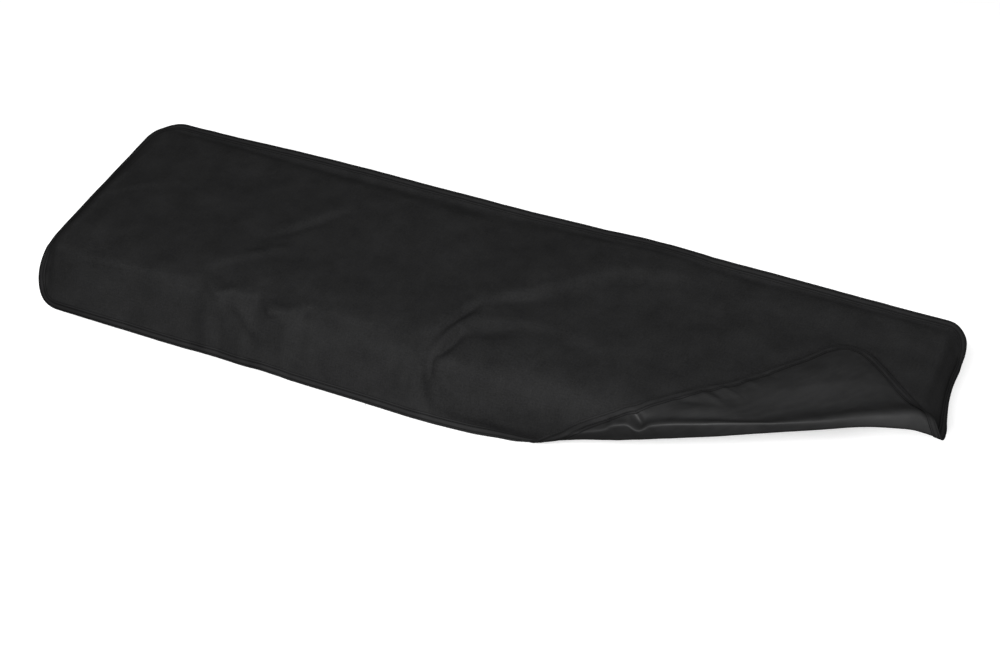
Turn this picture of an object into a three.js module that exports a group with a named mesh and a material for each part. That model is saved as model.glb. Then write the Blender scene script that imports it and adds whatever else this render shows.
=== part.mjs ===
// Keyboard dust cover: one rectangle of thin coated cloth with rounded corners, bound all round with folded
// tape. It has its draped shape: over the top, down the front, with a lip along the rear edge, a
// pinch in the middle of the front and the front right corner folded back over the top.
// Frame: the origin is under the middle of the top, +X along the length, +Y to the rear and +Z up.

import * as THREE from "three";

// Driving dimensions, in millimetres
const CUT_LENGTH = 1372;
const CUT_DEPTH = 442;
const CORNER_RADIUS = 52;
const CLOTH_THICKNESS = 1.2;
const TAPE_WIDTH = 10.5;
const TAPE_THICKNESS = 0.8;
const TAPE_CLEARANCE = 0.3;

// How the cut lies on its support: moved to the right, and turned by a small angle in radians
const LAY_SHIFT = 9;
const LAY_TURN = -0.003;

// The top: a point of its straight part at a given depth from the rear edge, and its slope in degrees. The
// lip stands up along the rear edge, the top falls more steeply past the break line, and the hem turns under.
const TOP_POINT = { depth: 32, y: 164, z: 13.85 };
const TOP_SLOPE = 4.6;
const LIP_WIDTH = 16;
const LIP_SOFTNESS = 2.5;
const BREAK_LINE = 293;
const BREAK_SOFTNESS = 8;
const HEM_HEIGHT = 42;
const HEM_SOFTNESS = 12;

// The ends: the distance from the middle at which the cloth starts to slope and then to hang
const SHOULDER_LINE = 609;
const SHOULDER_SOFTNESS = 5;
const HANG_LINE = 648;
const HANG_SOFTNESS = 4;

// The right end's rear edge lies a little forward of the rest
const REAR_SKEW = { shift: 6, x: 450, softX: 60, depth: 150, softDepth: 40 };

// Sections from left to right. lip, fallSlope, frontSlope and hemSlope are degrees below level, going
// forward: of the lip, of the top past the break line, of the front and of the hem. crest is the depth at
// which the cloth turns down the front, and softness is that turn's roundness.
const SECTIONS = [
  { x: -690, lip: 34, crest: 341, fallSlope: 13.5, frontSlope: 66, softness: 14, hemSlope: 64 },
  { x: -640, lip: 34, crest: 343, fallSlope: 13.5, frontSlope: 66, softness: 8, hemSlope: 64 },
  { x: -580, lip: 35, crest: 346, fallSlope: 13.5, frontSlope: 66, softness: 4, hemSlope: 63 },
  { x: -500, lip: 42, crest: 345, fallSlope: 13.5, frontSlope: 66, softness: 5, hemSlope: 62 },
  { x: -440, lip: 46, crest: 345, fallSlope: 13.5, frontSlope: 66, softness: 8, hemSlope: 62 },
  { x: -390, lip: 49, crest: 345, fallSlope: 13, frontSlope: 66, softness: 11, hemSlope: 62 },
  { x: -353, lip: 50, crest: 349, fallSlope: 12, frontSlope: 66, softness: 5, hemSlope: 62 },
  { x: -330, lip: 50, crest: 348, fallSlope: 12, frontSlope: 66, softness: 8, hemSlope: 62 },
  { x: -289, lip: 50, crest: 347, fallSlope: 12, frontSlope: 66, softness: 13, hemSlope: 62 },
  { x: -257, lip: 50, crest: 352, fallSlope: 11.5, frontSlope: 66, softness: 4, hemSlope: 62 },
  { x: -231, lip: 50, crest: 350, fallSlope: 11.5, frontSlope: 66, softness: 6, hemSlope: 61 },
  { x: -209, lip: 49, crest: 346, fallSlope: 12, frontSlope: 66, softness: 14, hemSlope: 61 },
  { x: -110, lip: 48, crest: 346, fallSlope: 11.5, frontSlope: 66, softness: 17, hemSlope: 61 },
  { x: -50, lip: 44, crest: 345, fallSlope: 11, frontSlope: 65, softness: 16, hemSlope: 61 },
  { x: -14, lip: 42, crest: 344, fallSlope: 11, frontSlope: 64, softness: 14, hemSlope: 63 },
  { x: 8, lip: 42, crest: 347, fallSlope: 12, frontSlope: 64, softness: 5, hemSlope: 64 },
  { x: 30, lip: 43, crest: 348, fallSlope: 13, frontSlope: 64, softness: 5, hemSlope: 68 },
  { x: 75, lip: 46, crest: 347, fallSlope: 13, frontSlope: 64, softness: 9, hemSlope: 76 },
  { x: 120, lip: 48, crest: 347, fallSlope: 12, frontSlope: 64, softness: 11, hemSlope: 86 },
  { x: 180, lip: 50, crest: 345, fallSlope: 9, frontSlope: 64, softness: 15, hemSlope: 94 },
  { x: 260, lip: 46, crest: 346, fallSlope: 6, frontSlope: 68, softness: 16, hemSlope: 86 },
  { x: 340, lip: 36, crest: 346, fallSlope: 6, frontSlope: 68, softness: 15, hemSlope: 78 },
  { x: 430, lip: 40, crest: 342, fallSlope: 9, frontSlope: 68, softness: 8, hemSlope: 70 },
  { x: 560, lip: 46, crest: 340, fallSlope: 13, frontSlope: 66, softness: 6, hemSlope: 66 },
  { x: 690, lip: 42, crest: 340, fallSlope: 13.5, frontSlope: 66, softness: 14, hemSlope: 66 },
];

// Slopes of the ends by depth from the rear edge, in degrees below level, going outward
const ENDS = [
  { depth: 0, shoulder: 0, left: 10, right: 62 },
  { depth: 110, shoulder: 0, left: 18, right: 58 },
  { depth: 165, shoulder: 0, left: 25, right: 45 },
  { depth: 200, shoulder: 1, left: 28, right: 32 },
  { depth: 235, shoulder: 3, left: 31, right: 27 },
  { depth: 290, shoulder: 6, left: 34, right: 27 },
  { depth: 335, shoulder: 9, left: 31, right: 30 },
  { depth: 390, shoulder: 6, left: 14, right: 40 },
  { depth: 442, shoulder: 5, left: 13, right: 40 },
];

// Folds of the lying cloth, from one place (x, depth) to another. bow bends the line sideways, a height
// above zero is a ridge and one below zero a trough, and width is half the fold's width. Seen along its run,
// the fold's left flank is as many times wider as spread says.
const FOLDS = [
  // Hollow along the rear edge
  { x: -340, depth: 34, toX: -680, toDepth: 26, bow: 0, height: 3, width: 11, spread: 4 },
  { x: -50, depth: 52, toX: -440, toDepth: 42, bow: 0, height: 6.5, width: 22, spread: 5 },
  { x: 50, depth: 40, toX: -150, toDepth: 56, bow: 0, height: 3.5, width: 18, spread: 4 },
  { x: 315, depth: 38, toX: 10, toDepth: 42, bow: -6, height: 7.5, width: 22, spread: 5 },
  { x: 400, depth: 42, toX: 285, toDepth: 30, bow: 0, height: 3, width: 13, spread: 3 },
  { x: 690, depth: 30, toX: 360, toDepth: 32, bow: 0, height: 3, width: 12, spread: 4 },
  // Creases of both ends, and the left end's streaks
  { x: -662, depth: 50, toX: -662, toDepth: 335, bow: 0, height: -2, width: 9, spread: 1 },
  { x: 662, depth: 30, toX: 662, toDepth: 235, bow: 0, height: -1.5, width: 9, spread: 1 },
  { x: -636, depth: 196, toX: -584, toDepth: 336, bow: 5, height: 3.5, width: 14, spread: 2 },
  { x: -642, depth: 206, toX: -578, toDepth: 144, bow: 0, height: 3, width: 8, spread: 2.5 },
  // Ridges and valleys that run back from the pinch
  { x: -16, depth: 322, toX: 4, toDepth: 220, bow: 5, height: 4, width: 11, spread: 3 },
  { x: -6, depth: 236, toX: 178, toDepth: 68, bow: -7, height: 10, width: 17, spread: 5 },
  { x: 150, depth: 92, toX: 300, toDepth: 40, bow: 0, height: 6, width: 16, spread: 6 },
  { x: -14, depth: 322, toX: 22, toDepth: 220, bow: 4, height: -4.5, width: 8, spread: 1 },
  { x: 14, depth: 228, toX: 95, toDepth: 188, bow: 0, height: -2.5, width: 9, spread: 1 },
  { x: 2, depth: 336, toX: 24, toDepth: 246, bow: 4, height: 4, width: 9, spread: 1 },
  { x: 14, depth: 260, toX: 222, toDepth: 246, bow: 20, height: 4.4, width: 14, spread: 4 },
  // The pinch in the front
  { x: -4, depth: 362, toX: 22, toDepth: 284, bow: -4, height: -8, width: 10, spread: 1 },
  { x: 14, depth: 294, toX: 95, toDepth: 260, bow: 0, height: -3.5, width: 14, spread: 1 },
  { x: -13, depth: 376, toX: 16, toDepth: 442, bow: 0, height: -3.5, width: 10, spread: 1 },
  { x: -22, depth: 360, toX: -15, toDepth: 434, bow: 0, height: 2.5, width: 10, spread: 1 },
  { x: -40, depth: 354, toX: -37, toDepth: 420, bow: 0, height: 2.4, width: 11, spread: 1 },
  { x: 4, depth: 428, toX: 195, toDepth: 437, bow: 0, height: -5, width: 10, spread: 1 },
  // Creases on the left of the top
  { x: -404, depth: 310, toX: -302, toDepth: 212, bow: 0, height: 3.8, width: 9, spread: 3 },
  { x: -372, depth: 258, toX: -296, toDepth: 196, bow: 0, height: -1.2, width: 8, spread: 1 },
  { x: -366, depth: 218, toX: -258, toDepth: 84, bow: 0, height: 3.4, width: 11, spread: 2.5 },
  { x: -342, depth: 210, toX: -258, toDepth: 106, bow: 0, height: -2.4, width: 9, spread: 1 },
  // The front's upper edge, and the flutes below it
  { x: -610, depth: 353, toX: -396, toDepth: 328, bow: -3, height: 2.5, width: 8, spread: 3 },
  { x: -222, depth: 322, toX: -20, toDepth: 320, bow: 0, height: 2, width: 9, spread: 3 },
  { x: -330, depth: 346, toX: -262, toDepth: 402, bow: 0, height: 3.4, width: 9, spread: 1 },
  { x: -394, depth: 366, toX: -374, toDepth: 446, bow: 0, height: -2, width: 13, spread: 1 },
  { x: -340, depth: 376, toX: -333, toDepth: 446, bow: 0, height: -2, width: 10, spread: 1 },
  { x: -366, depth: 362, toX: -354, toDepth: 446, bow: 0, height: 2.5, width: 12, spread: 1 },
  { x: -300, depth: 376, toX: -302, toDepth: 446, bow: 0, height: 3, width: 14, spread: 1 },
  { x: -222, depth: 362, toX: -232, toDepth: 430, bow: 0, height: 3, width: 13, spread: 1 },
  { x: -205, depth: 350, toX: -202, toDepth: 412, bow: 0, height: -2, width: 13, spread: 1 },
];
const FOLD_FADE = 0.7;

// The corner folded back: the fold runs from the hem to the right edge. By distance along it, bow is how
// far it bends toward the corner, radius is half of the roll's height, and lean is the angle in degrees
// between the layer below and the roll's face, which rises to a crease. The softnesses round its two bends.
const FOLD_START = { u: 166, v: CUT_DEPTH };
const FOLD_END = { u: CUT_LENGTH / 2, v: 191 };
const ROLL = [
  { along: 0, bow: -13, radius: 4.8, lean: 112 },
  { along: 60, bow: -11, radius: 8, lean: 134 },
  { along: 130, bow: -2, radius: 10, lean: 138 },
  { along: 210, bow: 6, radius: 11, lean: 128 },
  { along: 300, bow: 17, radius: 10, lean: 108 },
  { along: 390, bow: 17, radius: 10, lean: 108 },
  { along: 470, bow: 15, radius: 11.2, lean: 126 },
  { along: 520, bow: 17, radius: 12, lean: 132 },
  { along: 550, bow: 25, radius: 12, lean: 124 },
  { along: 575, bow: 30, radius: 12, lean: 116 },
  { along: 600, bow: 32, radius: 12, lean: 112 },
];
const ROLL_BOTTOM_SOFTNESS = 3.2;
const ROLL_CREASE_SOFTNESS = 1.8;

// The flap past the roll: it settles to a gap above the layer below, puffs up away from its edges, is
// lifted near the roll and rises a little toward its tip
const FLAP = { gap: 5.2, settle: 36, puff: 9, puffFrom: 105, puffWidth: 62, edge: 10, edgeWidth: 24 };
const LIFT = { height: 6, width: 38, over: 450 };
const TIP = { rise: 2, reach: 170 };
const FLAP_END = 630;

// Mesh density: columns and rows of the field inside the binding, and how much closer they are at the folds
const COLUMNS = 80;
const ROWS = 30;
const COLUMN_PEAKS = [
  { at: -655, weight: 2, width: 30 },
  { at: -305, weight: 1.1, width: 80 },
  { at: 0, weight: 2.2, width: 40 },
  { at: 165, weight: 2.6, width: 34 },
  { at: 360, weight: 0.3, width: 260 },
  { at: 655, weight: 2, width: 30 },
];
const CREST_PEAK = { weight: 1.6, width: 26 };
const ROLL_PEAK = { weight: 4, width: 32 };
const EDGE_PEAK = { weight: 1.2, width: 26 };
const FOLD_COLUMNS = { softness: 20, middle: 1.6 };
const DENSITY_STEPS = 400;
const TAPE_INSETS = [TAPE_WIDTH, TAPE_WIDTH / 2, 0];
const NORMAL_STEP = 0.5;

const CLOTH_FINISH = { color: 0x151516, roughness: 0.75, metalness: 0 };
const TAPE_FINISH = { color: 0x1b1b1c, roughness: 0.7, metalness: 0 };

// A ramp that is 0 below zero and t above it, rounded over the softness, and the slope of that ramp
const ramp = (t, softness) => Math.max(t, 0) + softness * Math.log1p(Math.exp(-Math.abs(t) / softness));
const step = (t, softness) => 1 / (1 + Math.exp(-t / softness));
const bump = (t) => Math.exp(-t * t);
const smooth = (t) => THREE.MathUtils.smoothstep(t, 0, 1);
const direction = (slope) => {
  const angle = THREE.MathUtils.degToRad(slope);
  return new THREE.Vector2(-Math.cos(angle), -Math.sin(angle));
};

// Slope of a table's column at one of its rows, level at peaks and ends so that the curve never overshoots
function rowSlope(table, key, column, row) {
  if (row === 0 || row === table.length - 1) {
    return 0;
  }
  const before = (table[row][column] - table[row - 1][column]) / (table[row][key] - table[row - 1][key]);
  const after = (table[row + 1][column] - table[row][column]) / (table[row + 1][key] - table[row][key]);
  return before * after > 0 ? (2 * before * after) / (before + after) : 0;
}

// A table's column as a smooth curve through its rows
function along(table, key, column, at) {
  const place = THREE.MathUtils.clamp(at, table[0][key], table.at(-1)[key]);
  const next = Math.max(1, table.findIndex((row) => row[key] >= place));
  const from = table[next - 1];
  const to = table[next];
  const span = to[key] - from[key];
  const t = (place - from[key]) / span;
  const startSlope = rowSlope(table, key, column, next - 1) * span;
  const endSlope = rowSlope(table, key, column, next) * span;
  return (
    from[column] * (1 + 2 * t) * (1 - t) ** 2 +
    startSlope * t * (1 - t) ** 2 +
    to[column] * t * t * (3 - 2 * t) +
    endSlope * t * t * (t - 1)
  );
}

// Height of one fold at a place on the lying cloth: a soft ridge that fades out at both ends
function foldHeight(fold, x, depth) {
  const runX = fold.toX - fold.x;
  const runDepth = fold.toDepth - fold.depth;
  const length = Math.hypot(runX, runDepth);
  const share = ((x - fold.x) * runX + (depth - fold.depth) * runDepth) / (length * length);
  if (share <= 0 || share >= 1) {
    return 0;
  }
  const line = 4 * fold.bow * share * (1 - share);
  const aside = ((x - fold.x) * runDepth - (depth - fold.depth) * runX) / length - line;
  const width = aside > 0 ? fold.width * fold.spread : fold.width;
  return fold.height * bump(aside / width) * Math.sin(Math.PI * share) ** FOLD_FADE;
}

// Place of the cut's point (u along the length, v from the rear edge) on its support, before the fold back
function supported(u, v) {
  const x = u + LAY_SHIFT + LAY_TURN * (v - CUT_DEPTH / 2);
  const depth = v - LAY_TURN * u;
  const section = (column) => along(SECTIONS, "x", column, x);
  const top = direction(TOP_SLOPE);
  const lip = direction(section("lip"));
  const path = new THREE.Vector2(TOP_POINT.y, TOP_POINT.z)
    .addScaledVector(top, LIP_WIDTH - TOP_POINT.depth - LAY_TURN * u)
    .addScaledVector(lip, v - LIP_WIDTH);
  const atRear = step(REAR_SKEW.depth - depth, REAR_SKEW.softDepth);
  path.x -= REAR_SKEW.shift * step(x - REAR_SKEW.x, REAR_SKEW.softX) * atRear;
  const sloped = (column) => direction(section(column));
  const legs = [
    { past: v - LIP_WIDTH, toward: top, softness: LIP_SOFTNESS },
    { past: depth - BREAK_LINE, toward: sloped("fallSlope"), softness: BREAK_SOFTNESS },
    { past: depth - section("crest"), toward: sloped("frontSlope"), softness: section("softness") },
    { past: v - CUT_DEPTH + HEM_HEIGHT, toward: sloped("hemSlope"), softness: HEM_SOFTNESS },
  ];
  const tangent = lip.clone();
  let heading = lip;
  for (const leg of legs) {
    const turn = leg.toward.clone().sub(heading);
    path.addScaledVector(turn, ramp(leg.past, leg.softness));
    tangent.addScaledVector(turn, step(leg.past, leg.softness));
    heading = leg.toward;
  }
  const outward = new THREE.Vector2(tangent.y, -tangent.x).normalize();
  const side = Math.sign(x);
  const shoulder = THREE.MathUtils.degToRad(along(ENDS, "depth", "shoulder", depth));
  const hang = THREE.MathUtils.degToRad(along(ENDS, "depth", side < 0 ? "left" : "right", depth));
  const pastShoulder = ramp(Math.abs(x) - SHOULDER_LINE, SHOULDER_SOFTNESS);
  const pastHang = ramp(Math.abs(x) - HANG_LINE, HANG_SOFTNESS);
  const drawn = (1 - Math.cos(shoulder)) * pastShoulder + (Math.cos(shoulder) - Math.cos(hang)) * pastHang;
  const drop = Math.sin(shoulder) * pastShoulder + (Math.sin(hang) - Math.sin(shoulder)) * pastHang;
  const rise = FOLDS.reduce((sum, fold) => sum + foldHeight(fold, x, depth), 0);
  path.addScaledVector(outward, rise - drop);
  return new THREE.Vector3(side * (Math.abs(x) - drawn), path.x, path.y);
}

// Unit normal of a surface of the cut, on the cloth's outer face
function normalOf(surface, u, v) {
  const across = surface(u + NORMAL_STEP, v).sub(surface(u - NORMAL_STEP, v));
  const back = surface(u, v - NORMAL_STEP).sub(surface(u, v + NORMAL_STEP));
  return across.cross(back).normalize();
}

const foldStart = new THREE.Vector2(FOLD_START.u, FOLD_START.v);
const foldLine = new THREE.Vector2(FOLD_END.u, FOLD_END.v).sub(foldStart).normalize();
const towardCorner = new THREE.Vector2(-foldLine.y, foldLine.x);

// How the flap's height changes past the roll: down to its gap above the layer below, with its puff and tip
function flapSettling(over, radius, u, v) {
  const settled = smooth(over / FLAP.settle);
  const edge = Math.min(CUT_DEPTH - v, CUT_LENGTH / 2 - u);
  const inside = 1 - Math.exp(-Math.max(edge - FLAP.edge, 0) / FLAP.edgeWidth);
  const start = THREE.MathUtils.clamp(over / FLAP.settle, 0, 1);
  const puff = FLAP.puff * bump((over - FLAP.puffFrom) / FLAP.puffWidth) * inside * start;
  const fromTip = Math.hypot(CUT_LENGTH / 2 - u, CUT_DEPTH - v);
  const tip = TIP.rise * smooth(1 - fromTip / TIP.reach) * settled;
  return (FLAP.gap - 2 * radius) * settled + puff + tip;
}

// Place of the cut's point on the draped cover, with the corner rolled over and laid back on the top
function draped(u, v) {
  const point = new THREE.Vector2(u, v);
  const offset = point.clone().sub(foldStart);
  const distance = offset.dot(foldLine);
  const radius = along(ROLL, "along", "radius", distance);
  const lean = THREE.MathUtils.degToRad(along(ROLL, "along", "lean", distance));
  const past = offset.dot(towardCorner) - along(ROLL, "along", "bow", distance);
  const face = (2 * radius) / Math.sin(lean);
  const bottom = (Math.PI * radius - (1 + Math.cos(lean)) * face) / 2;
  const risen = ramp(past - bottom, ROLL_BOTTOM_SOFTNESS);
  const over = ramp(past - bottom - face, ROLL_CREASE_SOFTNESS);
  const lies = past - (1 - Math.cos(lean)) * risen - (1 + Math.cos(lean)) * over;
  const below = point.addScaledVector(towardCorner, lies - past);
  const height = Math.sin(lean) * (risen - over) + flapSettling(over, radius, u, v);
  const share = THREE.MathUtils.clamp(distance / LIFT.over, 0, 1);
  const lift = LIFT.height * share * bump(Math.min(lies, 0) / LIFT.width);
  const normal = normalOf(supported, Math.min(below.x, FLAP_END), below.y);
  return supported(below.x, below.y).addScaledVector(normal, height + lift);
}

// Places that share out the span from one end to the other by a density
function shareOut(from, to, count, density) {
  const length = (to - from) / DENSITY_STEPS;
  const sums = [0];
  for (let k = 0; k < DENSITY_STEPS; k += 1) {
    sums.push(sums[k] + density(from + (k + 0.5) * length));
  }
  const places = [from];
  for (let i = 1; i < count; i += 1) {
    const target = (sums[DENSITY_STEPS] * i) / count;
    const k = sums.findIndex((sum) => sum >= target);
    places.push(from + length * (k - 1 + (target - sums[k - 1]) / (sums[k] - sums[k - 1])));
  }
  places.push(to);
  return places;
}

// Depths of the rows in one column, closer together at the crest and at the roll
function rowsAt(u, from, to) {
  const crest = along(SECTIONS, "x", "crest", u + LAY_SHIFT);
  const past = u - foldStart.x;
  const radius = along(ROLL, "along", "radius", past);
  const bow = along(ROLL, "along", "bow", past);
  const rollMiddle = foldStart.y + (past * foldLine.y) / foldLine.x + bow + FOLD_COLUMNS.middle * radius;
  const rollWeight = ROLL_PEAK.weight * step(past, FOLD_COLUMNS.softness);
  const density = (v) =>
    1 +
    EDGE_PEAK.weight * (bump((v - from) / EDGE_PEAK.width) + bump((to - v) / EDGE_PEAK.width)) +
    CREST_PEAK.weight * bump((v - crest) / CREST_PEAK.width) +
    rollWeight * bump((v - rollMiddle) / ROLL_PEAK.width);
  return shareOut(from, to, ROWS, density);
}

// The inner edge of the binding as an outline with round corners: half length, depth range and radius
const inner = {
  half: CUT_LENGTH / 2 - TAPE_WIDTH,
  from: TAPE_WIDTH,
  to: CUT_DEPTH - TAPE_WIDTH,
  radius: CORNER_RADIUS - TAPE_WIDTH,
};
const arcInset = inner.radius * (1 - Math.SQRT1_2);

// Distance by which the round corners draw a side in, at a distance from that side's end
const drawnIn = (gap) =>
  gap >= inner.radius ? 0 : inner.radius - Math.sqrt(inner.radius ** 2 - (inner.radius - gap) ** 2);

// Outward direction on the cut at a point of that outline
function outwardAt(u, v, sideU, sideV) {
  const fromCentreU = u - THREE.MathUtils.clamp(u, inner.radius - inner.half, inner.half - inner.radius);
  const fromCentreV = v - THREE.MathUtils.clamp(v, inner.from + inner.radius, inner.to - inner.radius);
  const inCorner = fromCentreU !== 0 && fromCentreV !== 0;
  const fromCentre = new THREE.Vector2(fromCentreU, fromCentreV);
  return inCorner ? fromCentre.normalize() : new THREE.Vector2(sideU, sideV);
}

// Columns and rows of points on the cut inside the binding, and the loop of points round that field
function layOut() {
  const columnDensity = (u) =>
    COLUMN_PEAKS.reduce((sum, peak) => sum + peak.weight * bump((u - peak.at) / peak.width), 1);
  const columns = shareOut(-inner.half + arcInset, inner.half - arcInset, COLUMNS, columnDensity);
  const grid = columns.map((u, i) => {
    if (i === 0 || i === COLUMNS) {
      const rows = rowsAt(u, inner.from + arcInset, inner.to - arcInset);
      const half = (v) => inner.half - drawnIn(Math.min(v - inner.from, inner.to - v));
      return rows.map((v) => new THREE.Vector2(Math.sign(u) * half(v), v));
    }
    const inset = drawnIn(inner.half - Math.abs(u));
    return rowsAt(u, inner.from + inset, inner.to - inset).map((v) => new THREE.Vector2(u, v));
  });
  const loop = [];
  const add = (i, j, sideU, sideV) => {
    const at = grid[i][j];
    loop.push({ i, j, at, outward: outwardAt(at.x, at.y, sideU, sideV) });
  };
  for (let i = 0; i < COLUMNS; i += 1) {
    add(i, 0, 0, -1);
  }
  for (let j = 0; j < ROWS; j += 1) {
    add(COLUMNS, j, 1, 0);
  }
  for (let i = COLUMNS; i > 0; i -= 1) {
    add(i, ROWS, 0, 1);
  }
  for (let j = ROWS; j > 0; j -= 1) {
    add(0, j, -1, 0);
  }
  return { grid, loop };
}

// A point of the draped cover with its normal
const placed = (at) => ({ point: draped(at.x, at.y), normal: normalOf(draped, at.x, at.y) });
const raised = (place, height) => place.point.clone().addScaledVector(place.normal, height);

// Triangles gathered as quads between points, made into one geometry with shared vertices
class Skin {
  constructor() {
    this.positions = [];
    this.triangles = [];
  }

  add(point) {
    this.positions.push(point.x, point.y, point.z);
    return this.positions.length / 3 - 1;
  }

  quad(a, b, c, d, turned = false) {
    this.triangles.push(...(turned ? [a, c, b, a, d, c] : [a, b, c, a, c, d]));
  }

  mesh(name, finish) {
    const geometry = new THREE.BufferGeometry();
    geometry.setAttribute("position", new THREE.Float32BufferAttribute(this.positions, 3));
    geometry.setIndex(this.triangles);
    geometry.computeVertexNormals();
    const mesh = new THREE.Mesh(geometry, new THREE.MeshStandardMaterial(finish));
    mesh.name = name;
    return mesh;
  }
}

const { grid, loop } = layOut();
const field = grid.map((column) => column.map(placed));
const bands = loop.map(({ i, j, at, outward }) =>
  TAPE_INSETS.map((inset, k) =>
    k === 0 ? field[i][j] : placed(at.clone().addScaledVector(outward, TAPE_WIDTH - inset)),
  ),
);

// A closed strip of quads round the edge, between the list of points at each place and the list at the next
function strip(skin, lists, turned = false) {
  lists.forEach((list, n) => {
    const next = lists[(n + 1) % lists.length];
    for (let k = 0; k + 1 < list.length; k += 1) {
      skin.quad(list[k], next[k], next[k + 1], list[k + 1], turned);
    }
  });
}

// One face of the sheet at a height from its middle: the field, then the band under the tape
function sheetFace(skin, height, turned) {
  const inside = field.map((column) => column.map((place) => skin.add(raised(place, height))));
  for (let i = 0; i < COLUMNS; i += 1) {
    for (let j = 0; j < ROWS; j += 1) {
      skin.quad(inside[i][j + 1], inside[i + 1][j + 1], inside[i + 1][j], inside[i][j], turned);
    }
  }
  const rings = bands.map((band, n) =>
    band.map((place, k) => (k === 0 ? inside[loop[n].i][loop[n].j] : skin.add(raised(place, height)))),
  );
  strip(skin, rings, turned);
  return rings.map((ring) => ring.at(-1));
}

// The sheet: an outer and an inner face, closed along the cut edge
function coverSheet() {
  const skin = new Skin();
  const outerEdge = sheetFace(skin, CLOTH_THICKNESS / 2, false);
  const innerEdge = sheetFace(skin, -CLOTH_THICKNESS / 2, true);
  strip(skin, outerEdge.map((corner, n) => [corner, innerEdge[n]]));
  return skin.mesh("cover_sheet", CLOTH_FINISH);
}

// One face of the tape: a height from the sheet's middle, reaching past the cut edge
function tapeFace(skin, height, reach) {
  return bands.map((band) => {
    const edge = band.at(-1);
    const outward = edge.point.clone().sub(band.at(-2).point).normalize();
    const points = band.map((place) => raised(place, height));
    points.at(-1).addScaledVector(outward, reach);
    return points.map((point) => skin.add(point));
  });
}

// The binding: a U section that straddles the cut edge, carried all round and closed on itself
function edgeBinding() {
  const skin = new Skin();
  const within = CLOTH_THICKNESS / 2 + TAPE_CLEARANCE;
  const without = within + TAPE_THICKNESS;
  const reach = TAPE_CLEARANCE + TAPE_THICKNESS;
  const upper = { outer: tapeFace(skin, without, reach), inner: tapeFace(skin, within, TAPE_CLEARANCE) };
  const lower = { outer: tapeFace(skin, -without, reach), inner: tapeFace(skin, -within, TAPE_CLEARANCE) };
  const pairs = (from, to, at) => from.map((list, n) => [list.at(at), to[n].at(at)]);
  strip(skin, upper.outer);
  strip(skin, upper.inner, true);
  strip(skin, lower.inner);
  strip(skin, lower.outer, true);
  strip(skin, pairs(upper.outer, lower.outer, -1));
  strip(skin, pairs(upper.inner, lower.inner, -1), true);
  strip(skin, pairs(upper.inner, upper.outer, 0));
  strip(skin, pairs(lower.outer, lower.inner, 0));
  return skin.mesh("edge_binding", TAPE_FINISH);
}

const dustCover = new THREE.Group();
dustCover.name = "dust_cover";
dustCover.add(coverSheet(), edgeBinding());

export default dustCover;
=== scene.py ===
"""Looks of a keyboard dust cover.

One rectangle of thin black coated cloth with rounded corners, bound all round with folded tape, lies as
it was draped: over a flat top and down the front, with a lip along the rear edge, a pinch in the middle
of the front and the front right corner folded back over the top. The cover's sizes are in millimetres in
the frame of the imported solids, and become metres as its meshes are made. The studio's are in metres.
"""

import logging
import math
from collections.abc import Callable
from dataclasses import dataclass, field
from enum import Enum
from functools import partial
from typing import NamedTuple

import bpy
import numpy as np
from mathutils import Matrix, Vector


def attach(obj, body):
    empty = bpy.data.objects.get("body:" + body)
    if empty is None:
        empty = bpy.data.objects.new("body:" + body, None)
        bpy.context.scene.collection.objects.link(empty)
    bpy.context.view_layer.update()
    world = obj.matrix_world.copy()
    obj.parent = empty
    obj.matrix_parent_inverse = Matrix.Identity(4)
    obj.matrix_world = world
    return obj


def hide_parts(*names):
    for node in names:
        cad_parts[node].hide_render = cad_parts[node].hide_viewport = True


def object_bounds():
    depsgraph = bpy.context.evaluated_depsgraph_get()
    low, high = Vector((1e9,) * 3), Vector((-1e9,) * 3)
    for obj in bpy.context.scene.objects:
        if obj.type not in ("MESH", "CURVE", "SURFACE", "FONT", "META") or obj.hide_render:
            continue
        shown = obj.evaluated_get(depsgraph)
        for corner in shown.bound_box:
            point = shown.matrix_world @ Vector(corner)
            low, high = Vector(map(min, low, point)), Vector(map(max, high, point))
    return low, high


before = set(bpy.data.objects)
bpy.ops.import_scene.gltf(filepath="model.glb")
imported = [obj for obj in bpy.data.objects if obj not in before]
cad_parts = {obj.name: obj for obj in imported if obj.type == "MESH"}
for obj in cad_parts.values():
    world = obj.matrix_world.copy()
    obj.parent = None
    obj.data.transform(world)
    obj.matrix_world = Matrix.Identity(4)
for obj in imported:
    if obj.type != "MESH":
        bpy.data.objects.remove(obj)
CAD_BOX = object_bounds()

log = logging.getLogger("dust_cover")
Array = np.ndarray
Colour = tuple[float, float, float]
MM = 0.001
BODY = "root"
TINY = 1e-9

# Distances of the binding's rows of stitches from the cut edge
STITCH_ROWS = (2.1, 8.6)

# Place along the front hem where the binding's ends lap
LAP_AT = -93

# Parts into which a span is cut to share it out by a density
SHARING_PARTS = 800


class Face(Enum):
    """The two faces of the cloth, as the side of its middle on which each lies."""

    OUTER = 1
    INNER = -1


class Section(NamedTuple):
    """A section of the lying cloth from rear to front. Slopes are degrees below level, going forward."""

    x: float
    lip: float
    lip_width: float
    crest: float
    fall_slope: float
    front_slope: float
    softness: float
    hem_slope: float


class EndSlope(NamedTuple):
    """Slopes of both ends at a depth from the rear edge, in degrees below level, going outward."""

    depth: float
    shoulder: float
    left: float
    right: float


class Fold(NamedTuple):
    """A ridge, or a trough below zero, between two places. Width is half of its own, bow bends it sideways.

    Seen along its run, its left flank is as many times wider as the spread says.
    """

    x: float
    depth: float
    to_x: float
    to_depth: float
    bow: float
    height: float
    width: float
    spread: float = 1


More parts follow.
